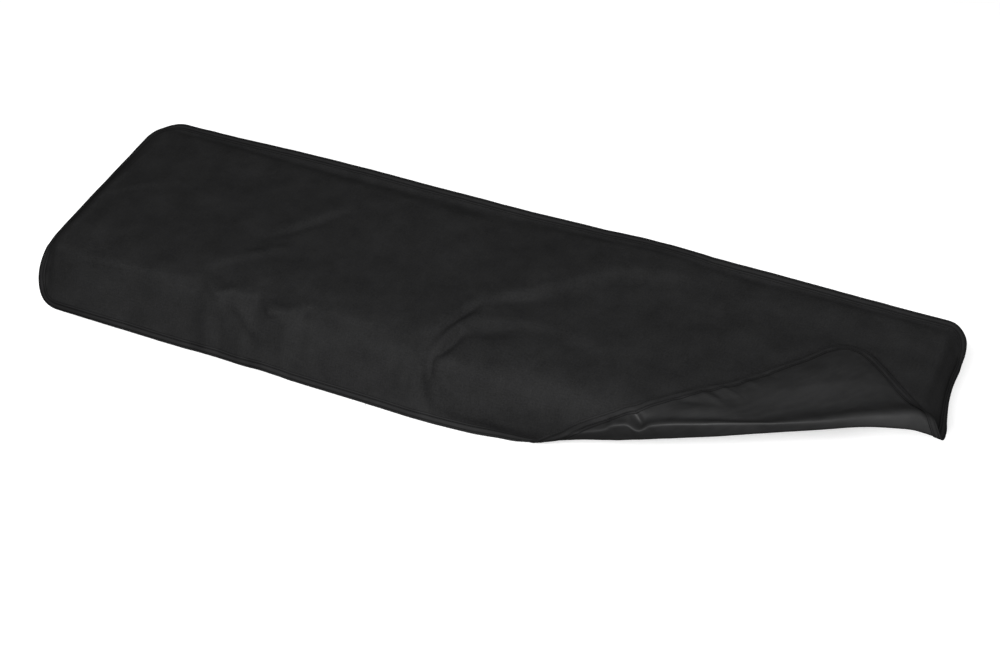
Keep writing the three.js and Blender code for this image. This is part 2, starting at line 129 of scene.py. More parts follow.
class RollStation(NamedTuple):
    """The corner's roll at a distance along it.

    It has its bow toward the corner, half its height, its face's lean, the softness of its bottom and of
    its crease, and how far past the crease the flap settles.
    """

    along: float
    bow: float
    radius: float
    lean: float
    bottom: float
    crease: float
    settle: float


class Peak(NamedTuple):
    """A place where the mesh is denser."""

    at: float
    weight: float
    width: float


# Sections from left to right
SECTIONS = (
    Section(-690, 18, 16, 339, 13.5, 66, 10, 64),
    Section(-640, 19, 16, 341, 13.5, 66, 5, 64),
    Section(-580, 21, 17, 346, 13.5, 66, 4, 63),
    Section(-500, 23, 20, 345, 13.5, 66, 5, 62),
    Section(-440, 25, 23, 345, 13.5, 66, 8, 62),
    Section(-390, 26, 25, 345, 13.0, 66, 11, 62),
    Section(-353, 27, 25, 349, 12.0, 66, 5, 62),
    Section(-330, 27, 25, 348, 12.0, 66, 8, 62),
    Section(-289, 27, 25, 347, 12.0, 66, 13, 62),
    Section(-257, 27, 24, 352, 11.5, 66, 4, 62),
    Section(-231, 28, 23, 350, 11.5, 66, 6, 61),
    Section(-209, 28, 22, 346, 12.0, 66, 14, 61),
    Section(-110, 29, 19, 346, 11.5, 66, 17, 61),
    Section(-50, 30, 16, 345, 11.0, 65, 16, 61),
    Section(-14, 31, 15, 344, 11.0, 64, 14, 63),
    Section(8, 31, 15, 347, 12.0, 64, 5, 64),
    Section(30, 30, 16, 348, 13.0, 64, 5, 68),
    Section(75, 28, 19, 347, 13.0, 64, 9, 76),
    Section(120, 27, 21, 347, 12.0, 64, 11, 86),
    Section(180, 26, 23, 345, 9.0, 64, 15, 94),
    Section(260, 27, 21, 346, 6.0, 68, 16, 86),
    Section(340, 31, 18, 346, 6.0, 68, 15, 78),
    Section(430, 29, 17, 342, 9.0, 68, 8, 70),
    Section(560, 26, 17, 340, 13.0, 66, 6, 66),
    Section(690, 22, 16, 340, 13.5, 66, 14, 66),
)

# How both ends hang, from the rear edge to the front
ENDS = (
    EndSlope(0, 0, 1, 40),
    EndSlope(40, 0, 7, 60),
    EndSlope(75, 0, 13, 62),
    EndSlope(110, 0, 18, 58.5),
    EndSlope(165, 0, 25, 44.5),
    EndSlope(200, 1, 28, 32),
    EndSlope(235, 3, 31, 24.5),
    EndSlope(290, 6, 34, 24),
    EndSlope(335, 9, 31, 30),
    EndSlope(390, 6, 15, 40),
    EndSlope(442, 5, 13, 40),
)

# Folds of the lying cloth: the rear ridges, both ends with the left corner's tuck, the pinch and its long
# ridges, the left creases and the flutes of the front drop
FOLDS = (
    Fold(-340, 34, -680, 26, 0, 3.8, 10, 4),
    Fold(-50, 52, -440, 42, 0, 7.5, 20, 5),
    Fold(50, 40, -150, 56, 0, 3.5, 18, 4),
    Fold(315, 38, 10, 42, -6, 8, 20, 5),
    Fold(400, 42, 285, 30, 0, 4, 12, 3),
    Fold(690, 30, 360, 32, 0, 4.6, 11, 4),
    Fold(-650, 20, -646, 320, 0, 2.8, 9),
    Fold(-666, 26, -664, 335, 0, -3.2, 8),
    Fold(-667, 330, -655, 430, 0, -3.4, 8, 1.5),
    Fold(-690, 424, -500, 431, 0, 4.6, 12),
    Fold(662, 30, 662, 235, 0, -1.5, 9),
    Fold(-636, 196, -584, 336, 5, 3.5, 14, 2),
    Fold(-642, 206, -578, 144, 0, 3, 8, 2.5),
    Fold(-16, 322, 4, 220, 5, 4, 11, 3),
    Fold(-6, 236, 178, 68, -7, 10, 17, 5),
    Fold(150, 92, 300, 40, 0, 6, 16, 6),
    Fold(-14, 322, 22, 220, 4, -4.5, 8),
    Fold(14, 228, 95, 188, 0, -2.5, 9),
    Fold(2, 336, 24, 246, 4, 4, 9),
    Fold(14, 260, 222, 246, 20, 4.4, 14, 4),
    Fold(-4, 362, 22, 284, -4, -8, 10),
    Fold(14, 294, 95, 260, 0, -3.5, 14),
    Fold(-1, 340, 6, 384, 0, -2.5, 5),
    Fold(-13, 376, 16, 442, 0, -3.5, 10),
    Fold(-22, 360, -15, 434, 0, 2.5, 10),
    Fold(-40, 354, -37, 420, 0, 2.4, 11),
    Fold(4, 428, 195, 437, 0, -5, 10),
    Fold(-404, 310, -302, 212, 0, 3.8, 9, 3),
    Fold(-372, 258, -296, 196, 0, -1.2, 8),
    Fold(-366, 218, -258, 84, 0, 3.4, 11, 2.5),
    Fold(-342, 210, -258, 106, 0, -2.4, 9),
    Fold(-610, 353, -396, 328, -3, 2.5, 8, 3),
    Fold(-398, 316, -346, 356, 0, 3.2, 6, 2.5),
    Fold(-355, 356, -328, 328, 0, 2.4, 5, 2),
    Fold(-345, 336, -288, 326, -3, 2.4, 7, 3),
    Fold(-296, 314, -250, 364, 0, 3.4, 6, 2.5),
    Fold(-266, 358, -218, 340, 0, 2.4, 6, 3),
    Fold(-233, 352, -203, 316, 0, 2.4, 6, 2.5),
    Fold(-222, 322, -20, 320, 0, 2, 9, 3),
    Fold(-330, 346, -262, 402, 0, 3.4, 9),
    Fold(-394, 366, -374, 446, 0, -1, 16),
    Fold(-340, 376, -333, 446, 0, -2, 10),
    Fold(-366, 362, -354, 446, 0, 2.5, 12),
    Fold(-300, 376, -302, 446, 0, 3, 14),
    Fold(-222, 362, -232, 430, 0, 3, 13),
    Fold(-205, 350, -202, 412, 0, -2, 13),
)

# Folds of the corner that lies back, on the flat cut: crumples by the roll, puckers beside the binding and,
# last, a broad swell behind the roll
FLAP_FOLDS = (
    Fold(278, 432, 320, 418, 3, 3.2, 4),
    Fold(337, 434, 333, 404, 0, -5.5, 5),
    Fold(322, 432, 326, 410, 0, 3.4, 4),
    Fold(380, 412, 474, 384, 0, 2.2, 8),
    Fold(396, 431, 436, 412, 0, -2.6, 6),
    Fold(434, 435, 454, 398, 0, 2.2, 5),
    Fold(450, 436, 462, 410, 0, -1.8, 5),
    Fold(466, 438, 482, 406, 0, 2.2, 5),
    Fold(504, 436, 516, 410, 0, 1.8, 6),
    Fold(540, 436, 548, 414, 0, -1.4, 6),
    Fold(694, 334, 490, 410, 0, 6, 19, 3.5),
)

# The corner's roll, from the front hem to the right end
ROLL = (
    RollStation(0, -13, 4.8, 112, 3.2, 1.8, 20),
    RollStation(60, -11, 8, 136, 3.2, 1.0, 14),
    RollStation(112, -5, 9.6, 136, 3.2, 1.0, 14),
    RollStation(128, -3, 10, 143, 3.2, 1.0, 14),
    RollStation(146, -1, 10.2, 142, 3.2, 1.0, 14),
    RollStation(163, 2, 10.4, 128, 3.2, 1.0, 13),
    RollStation(178, 3, 10.6, 136, 3.2, 1.0, 13),
    RollStation(200, 5, 11, 135, 3.2, 1.0, 13),
    RollStation(265, 12, 10.6, 124, 3.2, 1.0, 14),
    RollStation(305, 17, 10, 114, 3.2, 1.2, 20),
    RollStation(350, 19.5, 9.6, 106, 3.2, 1.8, 32),
    RollStation(390, 20, 9.6, 106, 3.2, 3.2, 44),
    RollStation(470, 16, 10.4, 124, 3.2, 4.6, 46),
    RollStation(520, 17, 11.6, 132, 4.0, 4.0, 42),
    RollStation(550, 24, 12, 130, 6.5, 4.0, 40),
    RollStation(575, 31, 12, 124, 7.5, 4.0, 36),
    RollStation(600, 34, 12, 120, 7.5, 4.0, 36),
)


def ramp(t: Array, softness: Array | float) -> Array:
    """A ramp that is 0 below zero and t above it, rounded over the softness."""
    return np.maximum(t, 0) + softness * np.log1p(np.exp(-np.abs(t) / softness))


def step(t: Array, softness: Array | float) -> Array:
    """The slope of that ramp."""
    return 0.5 + 0.5 * np.tanh(0.5 * t / softness)


def bump(t: Array) -> Array:
    """A soft bell that is 1 at zero."""
    return np.exp(-t * t)


def smooth(t: Array) -> Array:
    """A smooth rise from 0 to 1 over the same span."""
    t = np.clip(t, 0, 1)
    return t * t * (3 - 2 * t)


def eased(t: Array) -> Array:
    """A rise from 0 to 1 over the same span that starts at once and ends softly."""
    return 1 - (1 - np.clip(t, 0, 1)) ** 2


def direction(slope: Array | float) -> Array:
    """The way forward along a slope in degrees below level, as y and z."""
    angle = np.radians(slope)
    return np.stack([-np.cos(angle), -np.sin(angle)], axis=-1)


def unit(vectors: Array) -> Array:
    """The vectors at length 1."""
    return vectors / np.maximum(np.linalg.norm(vectors, axis=-1, keepdims=True), TINY)


class TableCurve:
    """A table's column as a smooth curve through its rows, level at its peaks and at both ends."""

    def __init__(self, rows: tuple[NamedTuple, ...], key: str, column: str) -> None:
        """Works out the curve's slope at each row.

        Args:
            rows: the table, in the order of its key.
            key: the column that the curve runs along.
            column: the column that it gives.
        """
        self.places = np.array([getattr(row, key) for row in rows], float)
        self.values = np.array([getattr(row, column) for row in rows], float)
        slopes = np.diff(self.values) / np.diff(self.places)
        before, after = slopes[:-1], slopes[1:]
        same_way = before * after > 0
        between = np.zeros(len(before))
        between[same_way] = 2 * (before * after)[same_way] / (before + after)[same_way]
        self.slopes = np.concatenate([[0.0], between, [0.0]])

    def at(self, place: Array) -> Array:
        """Reads the curve.

        Args:
            place: where along the key, held within the table.

        Returns:
            The column's value at each place.
        """
        place = np.clip(place, self.places[0], self.places[-1])
        after = np.clip(np.searchsorted(self.places, place), 1, len(self.places) - 1)
        before = after - 1
        span = self.places[after] - self.places[before]
        t = (place - self.places[before]) / span
        return (
            self.values[before] * (1 + 2 * t) * (1 - t) ** 2
            + self.slopes[before] * span * t * (1 - t) ** 2
            + self.values[after] * t * t * (3 - 2 * t)
            + self.slopes[after] * span * t * t * (t - 1)
        )


@dataclass(frozen=True)
class Rumple:
    """Slight unevenness of cloth: gradient noise over the cut, the same at each run."""

    pitch_u: float
    pitch_v: float
    height: float
    seed: int
    lattice: int = 64
    gain: float = 1.5

    def at(self, u: Array, v: Array) -> Array:
        """Reads the unevenness.

        Args:
            u: places along the cut's length.
            v: places from its rear edge.

        Returns:
            The height at each place.
        """
        turns = np.random.default_rng(self.seed).uniform(0, 2 * np.pi, (self.lattice, self.lattice))
        across, down = u / self.pitch_u, v / self.pitch_v
        column, row = np.floor(across).astype(int), np.floor(down).astype(int)
        across, down = across - column, down - row

        def corner(i: int, j: int) -> Array:
            """The slope of one corner of the lattice's cell, carried to the place."""
            turn = turns[(column + i) % self.lattice, (row + j) % self.lattice]
            return np.cos(turn) * (across - i) + np.sin(turn) * (down - j)

        rear = corner(0, 0) + smooth(across) * (corner(1, 0) - corner(0, 0))
        front = corner(0, 1) + smooth(across) * (corner(1, 1) - corner(0, 1))
        return self.height * self.gain * (rear + smooth(down) * (front - rear))


@dataclass(frozen=True)
class Cut:
    """The flat cut: a rectangle with round corners.

    In places on it, u runs along its length from the middle and v from its rear edge.
    """

    length: float = 1372
    depth: float = 442
    corner: float = 52

    @property
    def half(self) -> float:
        """Half of its length."""
        return self.length / 2

    @property
    def area(self) -> float:
        """Its area in square millimetres."""
        return self.length * self.depth - (4 - math.pi) * self.corner**2

    def inset(self, u: Array, v: Array) -> Array:
        """Distance of each place from the cut edge.

        Args:
            u: places along the length.
            v: places from the rear edge.

        Returns:
            The distances, below zero outside the cut.
        """
        past_u = np.abs(u) - (self.half - self.corner)
        past_v = np.abs(v - self.depth / 2) - (self.depth / 2 - self.corner)
        outside = np.hypot(np.maximum(past_u, 0), np.maximum(past_v, 0))
        inside = np.minimum(np.maximum(past_u, past_v), 0)
        return self.corner - outside - inside

    def edge(self, pitch: float) -> tuple[Array, Array, Array]:
        """Walks round the cut edge, from the rear edge's left end to the right.

        Args:
            pitch: about how far apart the stations are.

        Returns:
            The stations' distances along the edge, their places, and the outward directions there.
        """
        sides = [self.length - 2 * self.corner, self.depth - 2 * self.corner] * 2
        arc = self.corner * math.pi / 2
        count = round((sum(sides) + 4 * arc) / pitch)
        along = np.linspace(0, sum(sides) + 4 * arc, count, endpoint=False)
        places, outward, start = np.zeros((count, 2)), np.zeros((count, 2)), 0.0
        for k, side in enumerate(sides):
            here = (along >= start) & (along < start + side + arc)
            run = along[here] - start
            turn = math.pi / 2 * (k - 1) + np.maximum(run - side, 0) / self.corner
            facing = np.stack([np.cos(turn), np.sin(turn)], axis=1)
            heading = np.array([-math.sin(math.pi / 2 * (k - 1)), math.cos(math.pi / 2 * (k - 1))])
            sign_u, sign_v = ((1, -1), (1, 1), (-1, 1), (-1, -1))[k]
            centre = np.array([sign_u * (self.half - self.corner), self.depth / 2])
            centre[1] += sign_v * (self.depth / 2 - self.corner)
            places[here] = centre + facing * self.corner + heading * np.minimum(run - side, 0)[:, None]
            outward[here] = facing
            start += side + arc
        return along, places, outward


class RearSkew(NamedTuple):
    """The right end's rear edge lies a little forward of the rest."""

    shift: float = 6
    x: float = 450
    soft_x: float = 60
    depth: float = 150
    soft_depth: float = 40


class Flap(NamedTuple):
    """The corner that lies back on the top: its gap, puff and lift, and the rise of its tip."""

    gap: float = 5.2
    puff: float = 9
    puff_from: float = 105
    puff_width: float = 62
    edge: float = 10
    edge_width: float = 24
    lift: float = 6
    lift_width: float = 38
    lift_over: float = 450
    tip_rise: float = 2
    tip_reach: float = 170
    end: float = 630
    fold_start: float = 9


@dataclass
class Drape:
    """The cover's lying shape: where each point of the flat cut comes to rest."""

    cut: Cut = Cut()
    lay_shift: float = 9
    lay_turn: float = -0.003
    top_depth: float = 32
    top_y: float = 164
    top_z: float = 13.85
    top_slope: float = 4.6
    lip_softness: float = 2.5
    break_line: float = 293
    break_softness: float = 8
    hem_height: float = 42
    hem_softness: float = 12
    shoulder_line: float = 609
    shoulder_softness: float = 5
    hang_line: float = 648
    hang_softness: float = 4
    fold_fade: float = 0.7
    fold_reach: float = 4
    fold_start: tuple[float, float] = (166, 442)
    fold_end: tuple[float, float] = (686, 191)
    skew: RearSkew = RearSkew()
    flap: Flap = Flap()
    folds: tuple[Fold, ...] = FOLDS
    flap_folds: tuple[Fold, ...] = FLAP_FOLDS
    rumples: tuple[Rumple, ...] = (Rumple(120, 80, 1.2, 3), Rumple(42, 34, 0.45, 7))
    pucker: Rumple = Rumple(26, 24, 0.6, 11)
    pucker_reach: float = 26
    normal_step: float = 0.5

    def __post_init__(self) -> None:
        """Makes the tables' curves and the fold's directions."""
        self.sections = {name: TableCurve(SECTIONS, "x", name) for name in Section._fields[1:]}
        self.ends = {name: TableCurve(ENDS, "depth", name) for name in EndSlope._fields[1:]}
        self.roll = {name: TableCurve(ROLL, "along", name) for name in RollStation._fields[1:]}
        self.fold_line = unit(np.subtract(self.fold_end, self.fold_start).astype(float))
        self.toward_corner = np.array([-self.fold_line[1], self.fold_line[0]])

    def fold_height(self, folds: tuple[Fold, ...], x: Array, depth: Array) -> Array:
        """Adds up folds, each a ridge that fades out at both ends.

        Args:
            folds: the folds.
            x: places along the length.
            depth: places from the rear edge.

        Returns:
            The height at each place.
        """
        total = np.zeros(np.shape(x))
        for fold in folds:
            run = np.array([fold.to_x - fold.x, fold.to_depth - fold.depth])
            length = np.hypot(*run)
            share = ((x - fold.x) * run[0] + (depth - fold.depth) * run[1]) / length**2
            aside = ((x - fold.x) * run[1] - (depth - fold.depth) * run[0]) / length
            t = (aside - 4 * fold.bow * share * (1 - share)) / fold.width
            t = np.where(t > 0, t / fold.spread, t)
            near = (share > 0) & (share < 1) & (np.abs(t) < self.fold_reach)
            total[near] += fold.height * bump(t[near]) * np.sin(np.pi * share[near]) ** self.fold_fade
        return total

    def rise(self, u: Array, v: Array, x: Array, depth: Array) -> Array:
        """Height of the folds and of the unevenness above the plain section.

        Args:
            u: places along the cut's length.
            v: places from the cut's rear edge.
            x: the same places along the support.
            depth: the same places from the support's rear edge.

        Returns:
            The height at each place.
        """
        total = self.fold_height(self.folds, x, depth)
        for rumple in self.rumples:
            total += rumple.at(u, v)
        near_edge = np.exp(-np.maximum(self.cut.inset(u, v), 0) / self.pucker_reach)
        return total + self.pucker.at(u, v) * near_edge

    def supported(self, u: Array, v: Array) -> Array:
        """Places the cut's points on their support, before the corner is folded back.

        Args:
            u: places along the cut's length.
            v: places from the cut's rear edge.

        Returns:
            The points, one row each.
        """
        x = u + self.lay_shift + self.lay_turn * (v - self.cut.depth / 2)
        depth = v - self.lay_turn * u
        section = {name: curve.at(x) for name, curve in self.sections.items()}
        top, lip = direction(self.top_slope), direction(section["lip"])
        path = np.array([self.top_y, self.top_z]) + lip * (v - section["lip_width"])[:, None]
        path += top * (section["lip_width"] - self.top_depth - self.lay_turn * u)[:, None]
        skewed = step(x - self.skew.x, self.skew.soft_x) * step(self.skew.depth - depth, self.skew.soft_depth)
        path[:, 0] -= self.skew.shift * skewed
        legs = (
            (v - section["lip_width"], np.broadcast_to(top, lip.shape), self.lip_softness),
            (depth - self.break_line, direction(section["fall_slope"]), self.break_softness),
            (depth - section["crest"], direction(section["front_slope"]), section["softness"]),
            (v - self.cut.depth + self.hem_height, direction(section["hem_slope"]), self.hem_softness),
        )
        tangent, heading = lip.copy(), lip
        for past, toward, softness in legs:
            path += (toward - heading) * ramp(past, softness)[:, None]
            tangent += (toward - heading) * step(past, softness)[:, None]
            heading = toward
        outward = unit(np.stack([tangent[:, 1], -tangent[:, 0]], axis=1))
        shoulder = np.radians(self.ends["shoulder"].at(depth))
        hang = np.radians(np.where(x < 0, self.ends["left"].at(depth), self.ends["right"].at(depth)))
        past_shoulder = ramp(np.abs(x) - self.shoulder_line, self.shoulder_softness)
        past_hang = ramp(np.abs(x) - self.hang_line, self.hang_softness)
        reach = np.abs(x) + (np.cos(shoulder) - 1) * past_shoulder
        reach += (np.cos(hang) - np.cos(shoulder)) * past_hang
        drop = np.sin(shoulder) * past_shoulder + (np.sin(hang) - np.sin(shoulder)) * past_hang
        path += outward * (self.rise(u, v, x, depth) - drop)[:, None]
        return np.column_stack([np.sign(x) * reach, path])

    def normal(self, surface: Callable[[Array, Array], Array], u: Array, v: Array) -> Array:
        """Unit normals of a surface of the cut, on the cloth's outer face.

        Args:
            surface: gives the points of places on the cut.
            u: places along the length.
            v: places from the rear edge.

        Returns:
            The normals, one row each.
        """
        near = self.normal_step
        across = surface(u + near, v) - surface(u - near, v)
        back = surface(u, v - near) - surface(u, v + near)
        return unit(np.cross(across, back))

    def flap_settling(self, over: Array, radius: Array, settle: Array, u: Array, v: Array) -> Array:
        """How the flap's height changes past the roll: down to the layer below, with its puff and its tip.

        Args:
            over: distance past the roll.
            radius: half the roll's height there.
            settle: how far past the roll the flap settles there.
            u: places along the cut's length.
            v: places from the cut's rear edge.

        Returns:
            The change of height at each place.
        """
        flap = self.flap
        settled = eased(over / settle)
        edge = np.minimum(self.cut.depth - v, self.cut.half - u)
        from_tip = np.hypot(self.cut.half - u, self.cut.depth - v)
        inside = 1 - np.exp(-np.maximum(edge - flap.edge, 0) / flap.edge_width)
        puff = bump((over - flap.puff_from) / flap.puff_width) * inside * np.clip(over / settle, 0, 1)
        tip = flap.tip_rise * smooth(1 - from_tip / flap.tip_reach) * settled
        folds = self.fold_height(self.flap_folds, u, v) * smooth(over / flap.fold_start)
        return (flap.gap - 2 * radius) * settled + flap.puff * puff + tip + folds

    def draped(self, u: Array, v: Array) -> Array:
        """Places the cut's points on the cover, with the corner rolled over and laid back on the top.

        Args:
            u: places along the cut's length.
            v: places from the cut's rear edge.

        Returns:
            The points, one row each.
        """
        from_start = np.column_stack([u, v]) - np.array(self.fold_start)
        along = from_start @ self.fold_line
        radius, lean = self.roll["radius"].at(along), np.radians(self.roll["lean"].at(along))
        past = from_start @ self.toward_corner - self.roll["bow"].at(along)
        face = 2 * radius / np.sin(lean)
        bottom = (np.pi * radius - (1 + np.cos(lean)) * face) / 2
        risen = ramp(past - bottom, self.roll["bottom"].at(along))
        over = ramp(past - bottom - face, self.roll["crease"].at(along))
        lies = past - (1 - np.cos(lean)) * risen - (1 + np.cos(lean)) * over
        below = np.column_stack([u, v]) + self.toward_corner * (lies - past)[:, None]
        settle = self.roll["settle"].at(along)
        height = np.sin(lean) * (risen - over) + self.flap_settling(over, radius, settle, u, v)
        share = np.clip(along / self.flap.lift_over, 0, 1)
        lift = self.flap.lift * share * bump(np.minimum(lies, 0) / self.flap.lift_width)
        normal = self.normal(self.supported, np.minimum(below[:, 0], self.flap.end), below[:, 1])
        return self.supported(below[:, 0], below[:, 1]) + normal * (height + lift)[:, None]


class Value:
    """A number that varies over a surface. Operators on it add Math nodes to its graph."""

    def __init__(self, graph: "Graph", socket: bpy.types.NodeSocket) -> None:
        """Keeps the socket and the graph that it belongs to."""
        self.graph = graph
        self.socket = socket

    def maths(self, operation: str, *operands: "Value | float") -> "Value":
        """Adds a Math node.

        Args:
            operation: what the node does.
            operands: its inputs in order.

        Returns:
            The node's result.
        """
        node = self.graph.node("ShaderNodeMath", {"operation": operation}, dict(enumerate(operands)))
        return Value(self.graph, node.outputs[0])

    def __add__(self, other: "Value | float") -> "Value":
        """The sum."""
        return self.maths("ADD", self, other)

    def __sub__(self, other: "Value | float") -> "Value":
        """The difference."""
        return self.maths("SUBTRACT", self, other)

    def __rsub__(self, other: float) -> "Value":
        """The difference from a number."""
        return self.maths("SUBTRACT", other, self)

    def __mul__(self, other: "Value | float") -> "Value":
        """The product."""
        return self.maths("MULTIPLY", self, other)

    def __truediv__(self, other: "Value | float") -> "Value":
        """The quotient."""
        return self.maths("DIVIDE", self, other)

    def __abs__(self) -> "Value":
        """The size without its sign."""
        return self.maths("ABSOLUTE", self)

    __radd__ = __add__
    __rmul__ = __mul__

    def wave(self) -> "Value":
        """The sine, of a number in radians."""
        return self.maths("SINE", self)

    def between(self, low: float, high: float) -> "Value":
        """A smooth rise from 0 at low to 1 at high.

        Args:
            low: where it is 0.
            high: where it is 1.

        Returns:
            The rise.
        """
        ends = {"Value": self, "From Min": low, "From Max": high}
        node = self.graph.node("ShaderNodeMapRange", {"interpolation_type": "SMOOTHSTEP"}, ends)
        return Value(self.graph, node.outputs["Result"])


def add_node(
    tree: bpy.types.NodeTree, kind: str, settings: dict | None = None, inputs: dict | None = None
) -> bpy.types.Node:
    """Adds a node to a tree, sets it up and then fills its sockets.

    Args:
        tree: the node tree.
        kind: the node's type.
        settings: its properties by name.
        inputs: numbers, colours, values or sockets, by the socket's identifier, name or place.

    Returns:
        The node.
    """
    node = tree.nodes.new(kind)
    for name, setting in (settings or {}).items():
        setattr(node, name, setting)
    for key, given in (inputs or {}).items():
        named = [s for s in node.inputs if key in (s.identifier, s.name)]
        socket = node.inputs[key] if isinstance(key, int) else named[0]
        source = given.socket if isinstance(given, Value) else given
        if isinstance(source, bpy.types.NodeSocket):
            tree.links.new(source, socket)
        else:
            socket.default_value = source
    return node


class Graph:
    """The node tree of one material."""

    def __init__(self, material: bpy.types.Material) -> None:
        """Clears the material's nodes.

        Args:
            material: the material.
        """
        material.use_nodes = True
        self.tree = material.node_tree
        self.tree.nodes.clear()

    def node(self, kind: str, settings: dict | None = None, inputs: dict | None = None) -> bpy.types.Node:
        """Adds a node to the tree, in the way of add_node."""
        return add_node(self.tree, kind, settings, inputs)

    def place(self, u_scale: float = 1.0, v_scale: float = 1.0) -> bpy.types.NodeSocket:
        """The cloth's own flat place in metres, stretched.

        Args:
            u_scale: stretch along the length.
            v_scale: stretch across it.

        Returns:
            The place as a vector.
        """
        flat = self.node("ShaderNodeUVMap", {"uv_map": "cut"})
        scale = {"Vector": flat.outputs["UV"], "Scale": (u_scale, v_scale, 1.0)}
        return self.node("ShaderNodeMapping", {}, scale).outputs["Vector"]

    def split(self, vector: bpy.types.NodeSocket) -> tuple[Value, Value]:
        """The first two parts of a vector."""
        parts = self.node("ShaderNodeSeparateXYZ", {}, {"Vector": vector})
        return Value(self, parts.outputs["X"]), Value(self, parts.outputs["Y"])

    def noise(
        self, vector: bpy.types.NodeSocket, scale: float, detail: float, roughness: float = 0.5
    ) -> Value:
        """Noise about 0, from -0.5 to 0.5.

        Args:
            vector: the place.
            scale: how many swells there are in a metre.
            detail: its octaves.
            roughness: how strong the finer octaves are.

        Returns:
            The noise.
        """
        inputs = {"Vector": vector, "Scale": scale, "Detail": detail, "Roughness": roughness}
        return Value(self, self.node("ShaderNodeTexNoise", {}, inputs).outputs[0]) - 0.5

    def attribute(self, name: str) -> Value:
        """A number kept on the mesh's points."""
        node = self.node("ShaderNodeAttribute", {"attribute_name": name})
        return Value(self, node.outputs["Fac"])

    def mixed(self, dark: Colour, light: Colour, share: Value) -> bpy.types.NodeSocket:
        """A colour between two.

        Args:
            dark: the colour at share 0.
            light: the colour at share 1.
            share: where between them.

        Returns:
            The colour.
        """
        inputs = {"Factor_Float": share, "A_Color": (*dark, 1), "B_Color": (*light, 1)}
        node = self.node("ShaderNodeMix", {"data_type": "RGBA", "clamp_factor": True}, inputs)
        return next(s for s in node.outputs if s.identifier == "Result_Color")

    def raised(self, height: Value, distance: float, strength: float = 1.0) -> bpy.types.NodeSocket:
        """A normal bent by a height.

        Args:
            height: the height, about 0 to 1.
            distance: how many metres a height of 1 is.
            strength: how much of it shows.

        Returns:
            The normal.
        """
        inputs = {"Height": height, "Distance": distance, "Strength": strength}
        return self.node("ShaderNodeBump", {}, inputs).outputs["Normal"]


class Surface(NamedTuple):
    """What varies over a finish: its colour, its roughness and its normal."""

    colour: bpy.types.NodeSocket
    roughness: Value
    normal: bpy.types.NodeSocket


@dataclass(frozen=True)
class Finish:
    """A surface's look. Each finish below says how it varies."""

    name: str
    dark: Colour
    light: Colour
    roughness: float
    specular: float
    glow: float = 0.0
    relief: float = 0.0004
    relief_strength: float = 0.5

    def surface(self, graph: Graph) -> Surface:
        """Adds the nodes of what varies.

        Args:
            graph: the material's nodes.

        Returns:
            The surface.
        """
        raise NotImplementedError

    def dressed(self, graph: Graph, share: Value, roughness: Value, height: Value) -> Surface:
        """Puts a surface together.

        Args:
            graph: the material's nodes.
            share: where its colour is between the dark and the light one.
            roughness: its roughness.
            height: its relief.

        Returns:
            The surface.
        """
        colour = graph.mixed(self.dark, self.light, share)
        normal = graph.raised(height, self.relief, self.relief_strength)
        return Surface(colour, roughness, normal)

    def material(self) -> bpy.types.Material:
        """Makes the finish's material.

        Returns:
            The material.
        """
        material = bpy.data.materials.new(self.name)
        graph = Graph(material)
        surface = self.surface(graph)
        inputs = {
            "Base Color": surface.colour,
            "Roughness": surface.roughness,
            "Normal": surface.normal,
            "Specular IOR Level": self.specular,
            "Emission Color": (1, 1, 1, 1),
            "Emission Strength": self.glow,
        }
        shader = graph.node("ShaderNodeBsdfPrincipled", {}, inputs)
        graph.node("ShaderNodeOutputMaterial", {}, {"Surface": shader.outputs["BSDF"]})
        material.diffuse_color = (*self.light, 1)
        return material


@dataclass(frozen=True)
class WovenCloth(Finish):
    """The outer face: a fine plain weave, a little mottled."""

    thread_pitch: float = 0.45
    slub_scales: tuple[float, float] = (60, 900)
    mottle_scale: float = 22
    grain_scale: float = 420
    relief: float = 0.00022
    relief_strength: float = 0.55

    def surface(self, graph: Graph) -> Surface:
        """Adds a weave, slubs along both threads and soft mottling.

        Args:
            graph: the material's nodes.

        Returns:
            The surface.
        """
        place = graph.place()
        u, v = graph.split(place)
        turn = math.pi / (self.thread_pitch * MM)
        warp, weft = (u * turn).wave(), (v * turn).wave()
        weave = (warp * weft) * 0.5 + 0.5
        along, across = self.slub_scales
        slubs = graph.noise(graph.place(along, across), 1, 3) + graph.noise(graph.place(across, along), 1, 3)
        mottle = graph.noise(place, self.mottle_scale, 5, 0.6)
        grain = graph.noise(place, self.grain_scale, 3, 0.7)
        share = 0.46 + mottle * 0.8 + grain * 1.4 + slubs * 0.5
        rough = self.roughness + grain * 0.16 + mottle * 0.12
        height = weave * 0.35 + slubs * 0.5 + grain * 0.9
        return self.dressed(graph, share, rough, height)


@dataclass(frozen=True)
class CoatedFace(Finish):
    """The inner face: a thin smooth coating through which the weave just shows, with fine stress lines."""

    thread_pitch: float = 0.45
    line_scales: tuple[float, float] = (34, 120)
    mottle_scale: float = 30
    # Bend sharpness over which the creases turn paler, partly from wear and partly as painted highlight
    rubbed_span: tuple[float, float] = (0.1, 0.9)

    def surface(self, graph: Graph) -> Surface:
        """Adds a faint weave, long thin lines in the coating, and paler creases: partly wear of the coating,
        partly a painted highlight on sharp bends.

        Args:
            graph: the material's nodes.

        Returns:
            The surface.
        """
        place = graph.place()
        u, v = graph.split(place)
        turn = math.pi / (self.thread_pitch * MM)
        weave = (u * turn).wave() * (v * turn).wave()
        lines = graph.noise(graph.place(*self.line_scales), 1, 4, 0.55)
        mottle = graph.noise(place, self.mottle_scale, 4, 0.6)
        # Paler along sharp bends: partly wear of the coating, partly painted highlight on the creases
        crease_wear_and_highlight = graph.attribute("crease").between(*self.rubbed_span)
        share = 0.45 + mottle * 0.6 + lines * 0.5 + crease_wear_and_highlight * 0.1
        rough = self.roughness + mottle * 0.14 + lines * 0.1
        height = weave * 0.12 + lines * 1.2 + mottle * 0.8
        return self.dressed(graph, share, rough, height)


